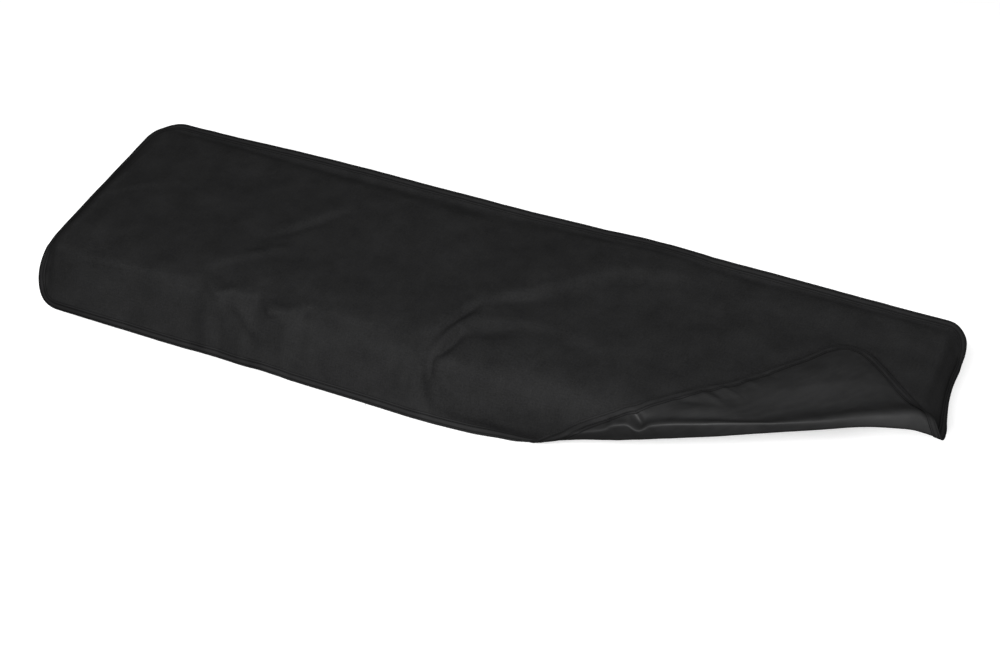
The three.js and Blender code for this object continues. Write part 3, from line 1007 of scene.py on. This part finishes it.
@dataclass(frozen=True)
class RibbedTape(Finish):
    """The binding: woven tape with fine ribs across it.

    It has painted shade along its rows of stitches and along a line at its edge, and painted shade over its
    inner face.
    """

    rib_pitch: float = 0.7
    stitch_pitch: float = 3.2
    rows: tuple[float, ...] = STITCH_ROWS
    # Distance from the cut edge of the tape's own edge, where a line of painted shadow lies
    edge: float = 12.7
    row_span: tuple[float, float] = (0.0004, 0.0016)
    fold_span: tuple[float, float] = (-0.0005, 0.0005)
    mottle_scale: float = 60
    grain_scale: float = 900
    # Painted shade over the tape's inner face
    inner_shade: float = 0.06
    inner_fade: float = 0.6
    relief: float = 0.00018
    relief_strength: float = 0.6

    def surface(self, graph: Graph) -> Surface:
        """Adds ribs, soft mottling, and painted shade along the rows of stitches and the tape's edge, where
        the relief is dented too.

        Args:
            graph: the material's nodes.

        Returns:
            The surface.
        """
        place = graph.place()
        along, across = graph.split(place)
        rib = (along * (2 * math.pi / (self.rib_pitch * MM))).wave()
        inner = 1 - across.between(*self.fold_span)

        def near(row: float) -> Value:
            """How close a place is to a line along the tape, from 0 to 1."""
            return 1 - abs(abs(across) - row * MM).between(*self.row_span)

        # Painted shade along the rows of stitches, fainter on the inner face, and along the tape's edge; the
        # same lines dent the relief
        shade_and_dent_lines = sum(near(row) for row in self.rows) * (1 - inner * self.inner_fade) + near(self.edge)
        dimple = (along * (2 * math.pi / (self.stitch_pitch * MM))).wave() * 0.5 + 0.5
        mottle = graph.noise(graph.place(1, 3), self.mottle_scale, 4, 0.6)
        grain = graph.noise(place, self.grain_scale, 2, 0.6)
        # The lines' painted shade and the inner face's painted shade darken the colour
        share = 0.62 + mottle * 0.8 + grain * 0.6 + rib * 0.12 - shade_and_dent_lines * 1.1 - inner * self.inner_shade
        rough = self.roughness + grain * 0.16 + mottle * 0.1
        height = rib * 0.3 + grain * 0.6 - shade_and_dent_lines * dimple * 1.4
        return self.dressed(graph, share, rough, height)


@dataclass(frozen=True)
class TwistedThread(Finish):
    """Sewing thread: fine plies wound round it."""

    ply_pitch: float = 0.35
    fuzz_scale: float = 1500
    relief: float = 0.00006
    relief_strength: float = 0.6

    def surface(self, graph: Graph) -> Surface:
        """Adds slanted plies and fine fuzz.

        Args:
            graph: the material's nodes.

        Returns:
            The surface.
        """
        place = graph.node("ShaderNodeTexCoord").outputs["Object"]
        x, y = graph.split(place)
        ply = ((x + y) * (2 * math.pi / (self.ply_pitch * MM))).wave()
        fuzz = graph.noise(place, self.fuzz_scale, 2, 0.6)
        share = 0.5 + ply * 0.3 + fuzz * 0.6
        rough = self.roughness + fuzz * 0.2
        return self.dressed(graph, share, rough, ply)


@dataclass(frozen=True)
class PaleFloor(Finish):
    """The floor: plain and matt, barely mottled."""

    mottle_scale: float = 3
    relief: float = 0.0005
    relief_strength: float = 0.1

    def surface(self, graph: Graph) -> Surface:
        """Adds very faint mottling.

        Args:
            graph: the material's nodes.

        Returns:
            The surface.
        """
        place = graph.node("ShaderNodeTexCoord").outputs["Object"]
        mottle = graph.noise(place, self.mottle_scale, 3)
        rough = self.roughness + mottle * 0.1
        share = 0.5 + mottle * 0.5
        return self.dressed(graph, share, rough, mottle)


CLOTH = WovenCloth("cloth_outer_face", (0.004, 0.004, 0.0041), (0.0165, 0.0165, 0.0168), 0.75, 0.08)
COATING = CoatedFace("cloth_coated_face", (0.0053, 0.0053, 0.0054), (0.0183, 0.0183, 0.0186), 0.5, 0.16)
TAPE = RibbedTape("binding_tape", (0.003, 0.003, 0.0031), (0.015, 0.015, 0.0153), 0.66, 0.1)
THREAD = TwistedThread("sewing_thread", (0.003, 0.003, 0.0031), (0.011, 0.011, 0.0112), 0.55, 0.2)
FLOOR = PaleFloor("pale_floor", (0.78, 0.78, 0.78), (0.82, 0.82, 0.82), 0.85, 0.1, glow=0.5)


def new_object(name: str, mesh: bpy.types.Mesh) -> bpy.types.Object:
    """Puts a mesh in the scene as an object at the origin.

    Args:
        name: the object's name.
        mesh: its mesh.

    Returns:
        The object.
    """
    made = bpy.data.objects.new(name, mesh)
    bpy.context.scene.collection.objects.link(made)
    return made


def new_mesh(name: str, points: Array, faces: Array, flat: Array | None = None) -> bpy.types.Mesh:
    """Makes a smooth mesh.

    Args:
        name: the mesh's name.
        points: its points in millimetres, one row each.
        faces: the numbers of each face's points.
        flat: the flat place of each corner of the faces in millimetres, for the map named cut.

    Returns:
        The mesh, in metres.
    """
    mesh = bpy.data.meshes.new(name)
    mesh.from_pydata((points * MM).tolist(), [], faces.tolist())
    if flat is not None:
        layer = mesh.uv_layers.new(name="cut")
        layer.data.foreach_set("uv", (flat * MM).astype(np.float32).ravel())
    mesh.shade_smooth()
    mesh.update()
    return mesh


def share_out(low: float, high: float, count: int, density: Callable[[Array], Array]) -> Array:
    """Places that share out a span by a density.

    Args:
        low: the span's start.
        high: its end.
        count: how many parts it has.
        density: how closely the places stand, by place.

    Returns:
        The places, both ends included.
    """
    fine = np.linspace(low, high, SHARING_PARTS + 1)
    middle = (fine[:-1] + fine[1:]) / 2
    sums = np.concatenate([[0.0], np.cumsum(density(middle))])
    return np.interp(np.linspace(0, sums[-1], count + 1), sums, fine)


def quad_corners(rows: int, columns: int) -> list[tuple[Array, Array]]:
    """Corners of a grid's quads, in order round each of them.

    Args:
        rows: how many quads there are one way.
        columns: how many there are the other way.

    Returns:
        The row numbers and the column numbers of each of the four corners.
    """
    n, k = np.meshgrid(np.arange(rows), np.arange(columns), indexing="ij")
    return [(n, k), (n, k + 1), (n + 1, k + 1), (n + 1, k)]


@dataclass
class CoverSheet:
    """The cloth itself, from one side of the binding's fold to the other."""

    drape: Drape
    thickness: float = 0.5
    tuck: float = 1.0
    columns: int = 460
    rows: int = 106
    column_peaks: tuple[Peak, ...] = (
        Peak(-655, 1.2, 30),
        Peak(-300, 0.8, 90),
        Peak(0, 1.6, 40),
        Peak(165, 2.0, 30),
        Peak(360, 0.4, 260),
        Peak(655, 1.2, 30),
    )
    edge_peak: Peak = Peak(0, 0.7, 26)
    crest_peak: Peak = Peak(0, 1.6, 26)
    roll_peak: Peak = Peak(1.6, 3, 34)
    roll_softness: float = 20
    crease_scale: float = 40

    def column_rows(self, u: float, low: float, high: float) -> Array:
        """Places of the rows in one column, closer together at the edges, the crest and the roll.

        Args:
            u: the column's place.
            low: where its rows start.
            high: where they end.

        Returns:
            The rows' places.
        """
        drape = self.drape
        crest = drape.sections["crest"].at(np.array(u + drape.lay_shift))
        past = u - drape.fold_start[0]
        radius = drape.roll["radius"].at(np.array(past))
        bow = drape.roll["bow"].at(np.array(past))
        drawn_back = past * drape.fold_line[1] / drape.fold_line[0]
        roll_at = drape.fold_start[1] + drawn_back + bow + self.roll_peak.at * radius
        roll_weight = self.roll_peak.weight * step(np.array(past), self.roll_softness)

        def density(v: Array) -> Array:
            """How closely the rows stand.

            Args:
                v: places from the rear edge.

            Returns:
                The density at each place.
            """
            ends = bump((v - low) / self.edge_peak.width) + bump((high - v) / self.edge_peak.width)
            at_crest = self.crest_peak.weight * bump((v - crest) / self.crest_peak.width)
            at_roll = roll_weight * bump((v - roll_at) / self.roll_peak.width)
            return 1 + self.edge_peak.weight * ends + at_crest + at_roll

        return share_out(low, high, self.rows, density)

    def field(self) -> Array:
        """Lays the mesh out on the flat cut, its end columns following the round corners.

        Returns:
            The places, by column and row.
        """
        cut = self.drape.cut
        half, low, high = cut.half - self.tuck, self.tuck, cut.depth - self.tuck
        radius = cut.corner - self.tuck
        arc_inset = radius * (1 - math.sqrt(0.5))

        def drawn_in(gap: Array) -> Array:
            """How far a round corner draws a side in, at a distance from the side's end."""
            short = np.clip(radius - gap, 0, radius)
            return radius - np.sqrt(radius**2 - short**2)

        def density(u: Array) -> Array:
            """How closely the columns stand."""
            return 1 + sum(peak.weight * bump((u - peak.at) / peak.width) for peak in self.column_peaks)

        places = np.zeros((self.columns + 1, self.rows + 1, 2))
        for i, u in enumerate(share_out(arc_inset - half, half - arc_inset, self.columns, density)):
            at_end = i in (0, self.columns)
            inset = arc_inset if at_end else float(drawn_in(np.array(half - abs(u))))
            v = self.column_rows(u, low + inset, high - inset)
            side = np.sign(u) * (half - drawn_in(np.minimum(v - low, high - v)))
            places[i] = np.column_stack([side if at_end else np.full(len(v), u), v])
        return places

    def crease(self, points: Array) -> Array:
        """How sharply the cloth is bent at each point, from 0 to 1.

        Args:
            points: the points by column and row.

        Returns:
            The sharpness of each, one after the other.
        """
        bend = np.zeros(points.shape[:2])
        for axis in (0, 1):
            along = unit(np.diff(points, axis=axis))
            length = np.linalg.norm(np.diff(points, axis=axis), axis=-1)
            turn = np.linalg.norm(np.diff(along, axis=axis), axis=-1)
            inner = (slice(1, -1), slice(None)) if axis == 0 else (slice(None), slice(1, -1))
            first, second = (length[:-1], length[1:]) if axis == 0 else (length[:, :-1], length[:, 1:])
            bend[inner] = np.maximum(bend[inner], 2 * turn / (first + second))
        return np.clip(bend * self.crease_scale / 2, 0, 1).ravel()

    def build(self) -> bpy.types.Object:
        """Makes the sheet, with its coated face on the inside.

        Returns:
            The sheet's object.
        """
        places = self.field()
        flat = places.reshape(-1, 2)
        points = self.drape.draped(flat[:, 0], flat[:, 1])
        numbers = np.arange(len(flat)).reshape(self.columns + 1, self.rows + 1)
        corners = (numbers[:-1, 1:], numbers[1:, 1:], numbers[1:, :-1], numbers[:-1, :-1])
        faces = np.stack([c.ravel() for c in corners], axis=1)
        mesh = new_mesh("cover_sheet", points, faces, flat[faces.ravel()])
        bent = mesh.attributes.new("crease", "FLOAT", "POINT")
        bent.data.foreach_set("value", self.crease(points.reshape(*numbers.shape, 3)).astype(np.float32))
        mesh.materials.append(CLOTH.material())
        mesh.materials.append(COATING.material())
        sheet = new_object("cloth_sheet", mesh)
        solidify = sheet.modifiers.new("thickness", "SOLIDIFY")
        solidify.thickness = self.thickness * MM
        solidify.offset = 0
        solidify.material_offset = 1
        return sheet


@dataclass
class EdgeBand:
    """The cloth's edge as stations all round, each with points and normals from the edge inward."""

    drape: Drape
    pitch: float = 2.6
    insets: tuple[float, ...] = (0, 2.1, 5.2, 8.6, 12.8)

    def __post_init__(self) -> None:
        """Places the stations on the cover."""
        self.along, self.places, self.outward = self.drape.cut.edge(self.pitch)
        lines = [self.places - self.outward * inset for inset in self.insets]
        flat = np.concatenate(lines)
        shape = (len(self.insets), len(self.along), 3)
        self.points = self.drape.draped(flat[:, 0], flat[:, 1]).reshape(shape)
        self.normals = self.drape.normal(self.drape.draped, flat[:, 0], flat[:, 1]).reshape(shape)

    def line(self, inset: float, height: Array | float) -> Array:
        """A line round the edge.

        Args:
            inset: its distance from the cut edge, below zero outside it.
            height: its height above the cloth's middle, on the outer face.

        Returns:
            The line's points, one for each station.
        """
        at = float(np.interp(inset, self.insets, np.arange(len(self.insets))))
        near = min(int(at), len(self.insets) - 2)
        share = at - near
        point = self.points[near] * (1 - share) + self.points[near + 1] * share
        normal = unit(self.normals[near] * (1 - share) + self.normals[near + 1] * share)
        beyond = unit(self.points[0] - self.points[1]) * max(-inset, 0)
        return point + normal * np.broadcast_to(height, len(point))[:, None] + beyond

    def nearest(self, u: float) -> int:
        """The station of the front edge that is nearest to a place along the length."""
        front = self.outward[:, 1] > 1 - TINY
        return int(np.argmin(np.where(front, np.abs(self.places[:, 0] - u), np.inf)))


class TapePoint(NamedTuple):
    """A point of the binding's section: its distance from the cut edge, and its height above the cloth."""

    inset: float
    height: float


@dataclass
class EdgeBinding:
    """The tape folded over the cloth's edge: a U section all round, its ends lapped on the front hem."""

    band: EdgeBand
    half_cloth: float = 0.3
    lap_at: float = LAP_AT
    lap_length: float = 26
    lap_height: float = 0.55
    lap_step: float = 1.5
    outer: tuple[TapePoint, ...] = (
        TapePoint(12.4, 0.02),
        TapePoint(12.5, 0.4),
        TapePoint(12.2, 0.72),
        TapePoint(10.8, 0.84),
        TapePoint(9.2, 0.74),
        TapePoint(8.6, 0.42),
        TapePoint(8.0, 0.74),
        TapePoint(6.8, 0.86),
        TapePoint(5.2, 0.9),
        TapePoint(3.6, 0.86),
        TapePoint(2.7, 0.74),
        TapePoint(2.1, 0.44),
        TapePoint(1.5, 0.74),
        TapePoint(0.8, 0.84),
        TapePoint(0.0, 0.74),
        TapePoint(-0.7, 0.42),
        TapePoint(-1.0, -0.02),
    )
    inner: tuple[TapePoint, ...] = (TapePoint(0.3, 0.02), TapePoint(4.0, 0.02), TapePoint(9.0, 0.02))

    def lap(self) -> Array:
        """Works out what the lapped end adds: it ends in a step and thins out the other way.

        Returns:
            The height that it adds at each station.
        """
        along = self.band.along
        start = along[self.band.nearest(self.lap_at)]
        run = (along - start) / self.lap_length
        return self.lap_height * smooth((along - start) / self.lap_step) * (1 - smooth(run))

    def build(self) -> bpy.types.Object:
        """Makes the binding.

        Returns:
            The binding's object.
        """
        lap = self.lap()
        rings, across = [], []
        for face in (Face.OUTER, Face.INNER):
            section = self.outer if face is Face.OUTER else self.outer[-2::-1]
            for point in section:
                share = np.clip(point.height, 0, 1)
                height = face.value * (self.half_cloth + point.height + lap * share)
                height = height if point.height > 0 else np.zeros(len(lap))
                rings.append(self.band.line(point.inset, height))
                across.append(face.value * point.inset)
        for face in (Face.INNER, Face.OUTER):
            for point in self.inner[::-1] if face is Face.INNER else self.inner:
                rings.append(self.band.line(point.inset, face.value * (self.half_cloth + point.height)))
                across.append(face.value * point.inset)
        stations, count = len(self.band.along), len(rings)
        points = np.stack(rings, axis=1).reshape(-1, 3)
        corners = quad_corners(stations, count)
        faces = np.stack([(a % stations * count + b % count).ravel() for a, b in corners], axis=1)
        length = np.append(self.band.along, self.band.along[-1] + self.band.pitch)
        over = np.append(across, across[0])
        flat = np.stack([np.stack([length[a], over[b]], axis=-1) for a, b in corners], axis=2)
        mesh = new_mesh("edge_binding", points, faces, flat.reshape(-1, 2))
        mesh.materials.append(TAPE.material())
        return new_object("binding", mesh)


@dataclass
class Stitching:
    """Rows of stitches along the binding on one face of the cover."""

    band: EdgeBand
    face: Face
    rows: tuple[float, ...] = STITCH_ROWS
    height: float = 0.82
    pitch: float = 3.2
    length: float = 2.7
    thread: float = 0.42
    segments: int = 6
    rings: int = 5
    unevenness: tuple[float, float] = (0.9, 1.08)
    seed: int = 5

    def path(self) -> bpy.types.Object:
        """Lays out the rows as closed lines, for the stitches to follow.

        Returns:
            The lines' object.
        """
        lines = [self.band.line(row, self.face.value * self.height) for row in self.rows]
        count = len(self.band.along)
        starts = [row * count for row in range(len(lines))]
        edges = [(start + n, start + (n + 1) % count) for start in starts for n in range(count)]
        mesh = bpy.data.meshes.new("stitch_path")
        mesh.from_pydata((np.concatenate(lines) * MM).tolist(), edges, [])
        return new_object("stitch_path", mesh)

    def tree(self, material: bpy.types.Material) -> bpy.types.NodeTree:
        """Builds the nodes that set a stitch at each pitch along the path.

        Args:
            material: the thread's material.

        Returns:
            The node tree.
        """
        tree = bpy.data.node_groups.new("stitch_row", "GeometryNodeTree")
        sockets = {"Path": "Geometry", "Pitch": "Float", "Length": "Float", "Thread": "Float", "Seed": "Int"}
        for name, kind in sockets.items():
            tree.interface.new_socket(name, in_out="INPUT", socket_type=f"NodeSocket{kind}")
        tree.interface.new_socket("Stitches", in_out="OUTPUT", socket_type="NodeSocketGeometry")
        add = partial(add_node, tree)
        given = add("NodeGroupInput").outputs
        curve = add("GeometryNodeMeshToCurve", {}, {"Mesh": given["Path"]})
        spacing = {"Curve": curve.outputs[0], "Length": given["Pitch"]}
        spaced = add("GeometryNodeCurveToPoints", {"mode": "LENGTH"}, spacing)
        round_form = {"Segments": self.segments, "Rings": self.rings, "Radius": 0.5}
        ball = add("GeometryNodeMeshUVSphere", {}, round_form)
        size = {"X": given["Thread"], "Y": given["Thread"], "Z": given["Length"]}
        stretch = add("ShaderNodeCombineXYZ", {}, size)
        shape = {"Geometry": ball.outputs["Mesh"], "Scale": stretch.outputs[0]}
        stitch = add("GeometryNodeTransform", {}, shape)
        turn = add("FunctionNodeAlignRotationToVector", {"axis": "Z"}, {"Vector": spaced.outputs["Tangent"]})
        least, most = self.unevenness
        chance = {2: least, 3: most, "Seed": given["Seed"]}
        uneven = add("FunctionNodeRandomValue", {"data_type": "FLOAT"}, chance)
        put = {
            "Points": spaced.outputs["Points"],
            "Instance": stitch.outputs[0],
            "Rotation": turn.outputs[0],
            "Scale": uneven.outputs[1],
        }
        placed = add("GeometryNodeInstanceOnPoints", {}, put)
        real = add("GeometryNodeRealizeInstances", {}, {"Geometry": placed.outputs[0]})
        soft = add("GeometryNodeSetShadeSmooth", {}, {"Geometry": real.outputs[0]})
        dressed = add("GeometryNodeSetMaterial", {}, {"Geometry": soft.outputs[0], "Material": material})
        add("NodeGroupOutput", {}, {"Stitches": dressed.outputs[0]})
        return tree

    def build(self, material: bpy.types.Material) -> bpy.types.Object:
        """Makes the stitches.

        Args:
            material: the thread's material.

        Returns:
            The stitches' object.
        """
        path = self.path()
        modifier = path.modifiers.new("stitches", "NODES")
        modifier.node_group = self.tree(material)
        sizes = {
            "Pitch": self.pitch * MM,
            "Length": self.length * MM,
            "Thread": self.thread * MM,
            "Seed": self.seed,
        }
        for socket in modifier.node_group.interface.items_tree:
            if socket.in_out == "INPUT" and socket.name in sizes:
                modifier[socket.identifier] = sizes[socket.name]
        shown = path.evaluated_get(bpy.context.evaluated_depsgraph_get())
        mesh = bpy.data.meshes.new_from_object(shown)
        bpy.data.objects.remove(path)
        return new_object(f"stitches_{self.face.name.lower()}", mesh)


@dataclass
class ThreadTail:
    """The end of the binding's thread, left hanging where the tape's ends lap."""

    band: EdgeBand
    at: float = LAP_AT
    root_inset: float = 1.0
    root_height: float = 1.1
    thread: float = 0.5
    tip: float = 0.15
    slant: float = 0.25
    sides: int = 8
    stations: int = 25
    smoothing: int = 4
    reach: tuple[tuple[float, float], ...] = ((0.0, 0.0), (1.2, -1.4), (1.9, -3.2), (1.4, -4.8), (2.0, -6.2))

    def build(self, material: bpy.types.Material) -> bpy.types.Object:
        """Makes the thread's end.

        Args:
            material: the thread's material.

        Returns:
            The thread's object.
        """
        start = self.band.line(self.root_inset, self.root_height)[self.band.nearest(self.at)]
        bends = np.array([start + np.array([self.slant * out, -out, down]) for out, down in self.reach])
        at = np.linspace(0, len(bends) - 1, self.stations)
        line = np.column_stack([np.interp(at, range(len(bends)), bends[:, k]) for k in range(3)])
        for _ in range(self.smoothing):
            line[1:-1] = (line[:-2] + 2 * line[1:-1] + line[2:]) / 4
        forward = unit(np.gradient(line, axis=0))
        side = unit(np.cross(forward, [1.0, 0.0, 0.0]))
        up = np.cross(side, forward)
        turn = np.arange(self.sides) * 2 * np.pi / self.sides
        from_end = np.minimum(np.arange(self.stations), np.arange(self.stations)[::-1])
        radius = self.thread / 2 * np.minimum(1, from_end + self.tip)
        ring = side[:, None] * np.cos(turn)[:, None] + up[:, None] * np.sin(turn)[:, None]
        points = (line[:, None] + ring * radius[:, None, None]).reshape(-1, 3)
        corners = quad_corners(self.stations - 1, self.sides)
        quads = np.stack([(a * self.sides + b % self.sides).ravel() for a, b in corners], axis=1)
        ends = [list(range(self.sides))[::-1], [len(points) - self.sides + k for k in range(self.sides)]]
        mesh = bpy.data.meshes.new("thread_tail")
        mesh.from_pydata((points * MM).tolist(), [], quads.tolist() + ends)
        mesh.shade_smooth()
        mesh.materials.append(material)
        return new_object("thread_tail", mesh)


class Lamp(NamedTuple):
    """A soft light: a lit rectangle at a place, turned to another, in metres and watts."""

    name: str
    place: tuple[float, float, float]
    aim: tuple[float, float, float]
    width: float
    height: float
    power: float


@dataclass(frozen=True)
class Viewpoint:
    """The camera: its place in metres, its turn in degrees and its lens in millimetres."""

    place: tuple[float, float, float] = (0.931581, -1.917663, 1.443698)
    heading: float = 25.0396
    pitch: float = 35.5190
    roll: float = 0.4616
    lens: float = 63.994
    sensor: float = 36.0

    def build(self) -> bpy.types.Object:
        """Makes the camera and looks through it.

        Returns:
            The camera.
        """
        heading, pitch, roll = (math.radians(a) for a in (self.heading, self.pitch, self.roll))
        flat = math.cos(pitch)
        ahead = Vector((-math.sin(heading) * flat, math.cos(heading) * flat, -math.sin(pitch)))
        level = Vector((math.cos(heading), math.sin(heading), 0))
        upright = level.cross(ahead)
        right = level * math.cos(roll) + upright * math.sin(roll)
        up = upright * math.cos(roll) - level * math.sin(roll)
        data = bpy.data.cameras.new("camera")
        data.lens = self.lens
        data.sensor_width = self.sensor
        camera = bpy.data.objects.new("camera", data)
        turn = Matrix((right, up, -ahead)).transposed().to_4x4()
        camera.matrix_world = Matrix.Translation(self.place) @ turn
        bpy.context.scene.collection.objects.link(camera)
        bpy.context.scene.camera = camera
        return camera


@dataclass(frozen=True)
class Studio:
    """A pale floor, soft lights and the camera."""

    floor_size: float = 14.0
    floor_gap: float = 0.008
    sky: Colour = (1.0, 1.0, 1.0)
    sky_strength: float = 0.1
    lamps: tuple[Lamp, ...] = (
        Lamp("front_light", (0.5, -2.5, 2.0), (0.0, 0.0, -0.03), 1.3, 0.8, 189),
        Lamp("right_light", (2.6, -0.8, 1.3), (0.3, 0.0, 0.0), 1.0, 0.8, 20),
        Lamp("top_light", (-0.1, 0.5, 3.0), (0.0, 0.0, 0.0), 2.6, 1.8, 10),
    )
    viewpoint: Viewpoint = field(default_factory=Viewpoint)

    def floor(self) -> bpy.types.Object:
        """Lays the floor just under the cover's lowest hem.

        Returns:
            The floor's object.
        """
        half, height = self.floor_size / 2, CAD_BOX[0].z - self.floor_gap
        sides = ((-half, -half), (half, -half), (half, half), (-half, half))
        corners = np.array([(x, y, height) for x, y in sides])
        mesh = new_mesh("floor", corners / MM, np.array([[0, 1, 2, 3]]))
        mesh.materials.append(FLOOR.material())
        made = new_object("floor", mesh)
        made.visible_diffuse = False
        made.visible_glossy = False
        return made

    def light(self, lamp: Lamp) -> bpy.types.Object:
        """Hangs one light.

        Args:
            lamp: its place and size.

        Returns:
            The light's object.
        """
        data = bpy.data.lights.new(lamp.name, "AREA")
        data.shape = "RECTANGLE"
        data.size, data.size_y = lamp.width, lamp.height
        data.energy = lamp.power
        made = bpy.data.objects.new(lamp.name, data)
        made.location = lamp.place
        made.rotation_euler = (Vector(lamp.aim) - Vector(lamp.place)).to_track_quat("-Z", "Y").to_euler()
        bpy.context.scene.collection.objects.link(made)
        return made

    def build(self) -> None:
        """Sets up the sky, the floor, the lights and the camera."""
        world = bpy.data.worlds.new("studio")
        world.use_nodes = True
        sky = world.node_tree.nodes["Background"]
        sky.inputs["Color"].default_value = (*self.sky, 1)
        sky.inputs["Strength"].default_value = self.sky_strength
        scene = bpy.context.scene
        scene.world = world
        scene.view_settings.view_transform = "Standard"
        self.floor()
        for lamp in self.lamps:
            self.light(lamp)
        self.viewpoint.build()


def place_on_cover(piece: bpy.types.Object, slot: str, *nodes: str) -> None:
    """Makes a piece part of the cover and reports it.

    Args:
        piece: the piece.
        slot: the record's material slot; not used.
        nodes: the solids that it stands for.
    """
    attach(piece, BODY)
    if nodes:
        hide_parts(*nodes)
    log.info("%s: %d points", piece.name, len(piece.data.vertices))


def main() -> None:
    """Builds the studio and the cover's pieces in order."""
    logging.basicConfig(level=logging.INFO, format="%(name)s: %(message)s")
    Studio().build()
    drape = Drape()
    sheet = CoverSheet(drape).build()
    place_on_cover(sheet, "coated_cloth", "cover_sheet")
    band = EdgeBand(drape)
    binding = EdgeBinding(band).build()
    place_on_cover(binding, "binding_tape", "edge_binding")
    thread = THREAD.material()
    sewn = [Stitching(band, face).build(thread) for face in Face]
    sewn.append(ThreadTail(band).build(thread))
    for piece in sewn:
        place_on_cover(piece, "binding_tape")


if __name__ == "__main__":
    main()
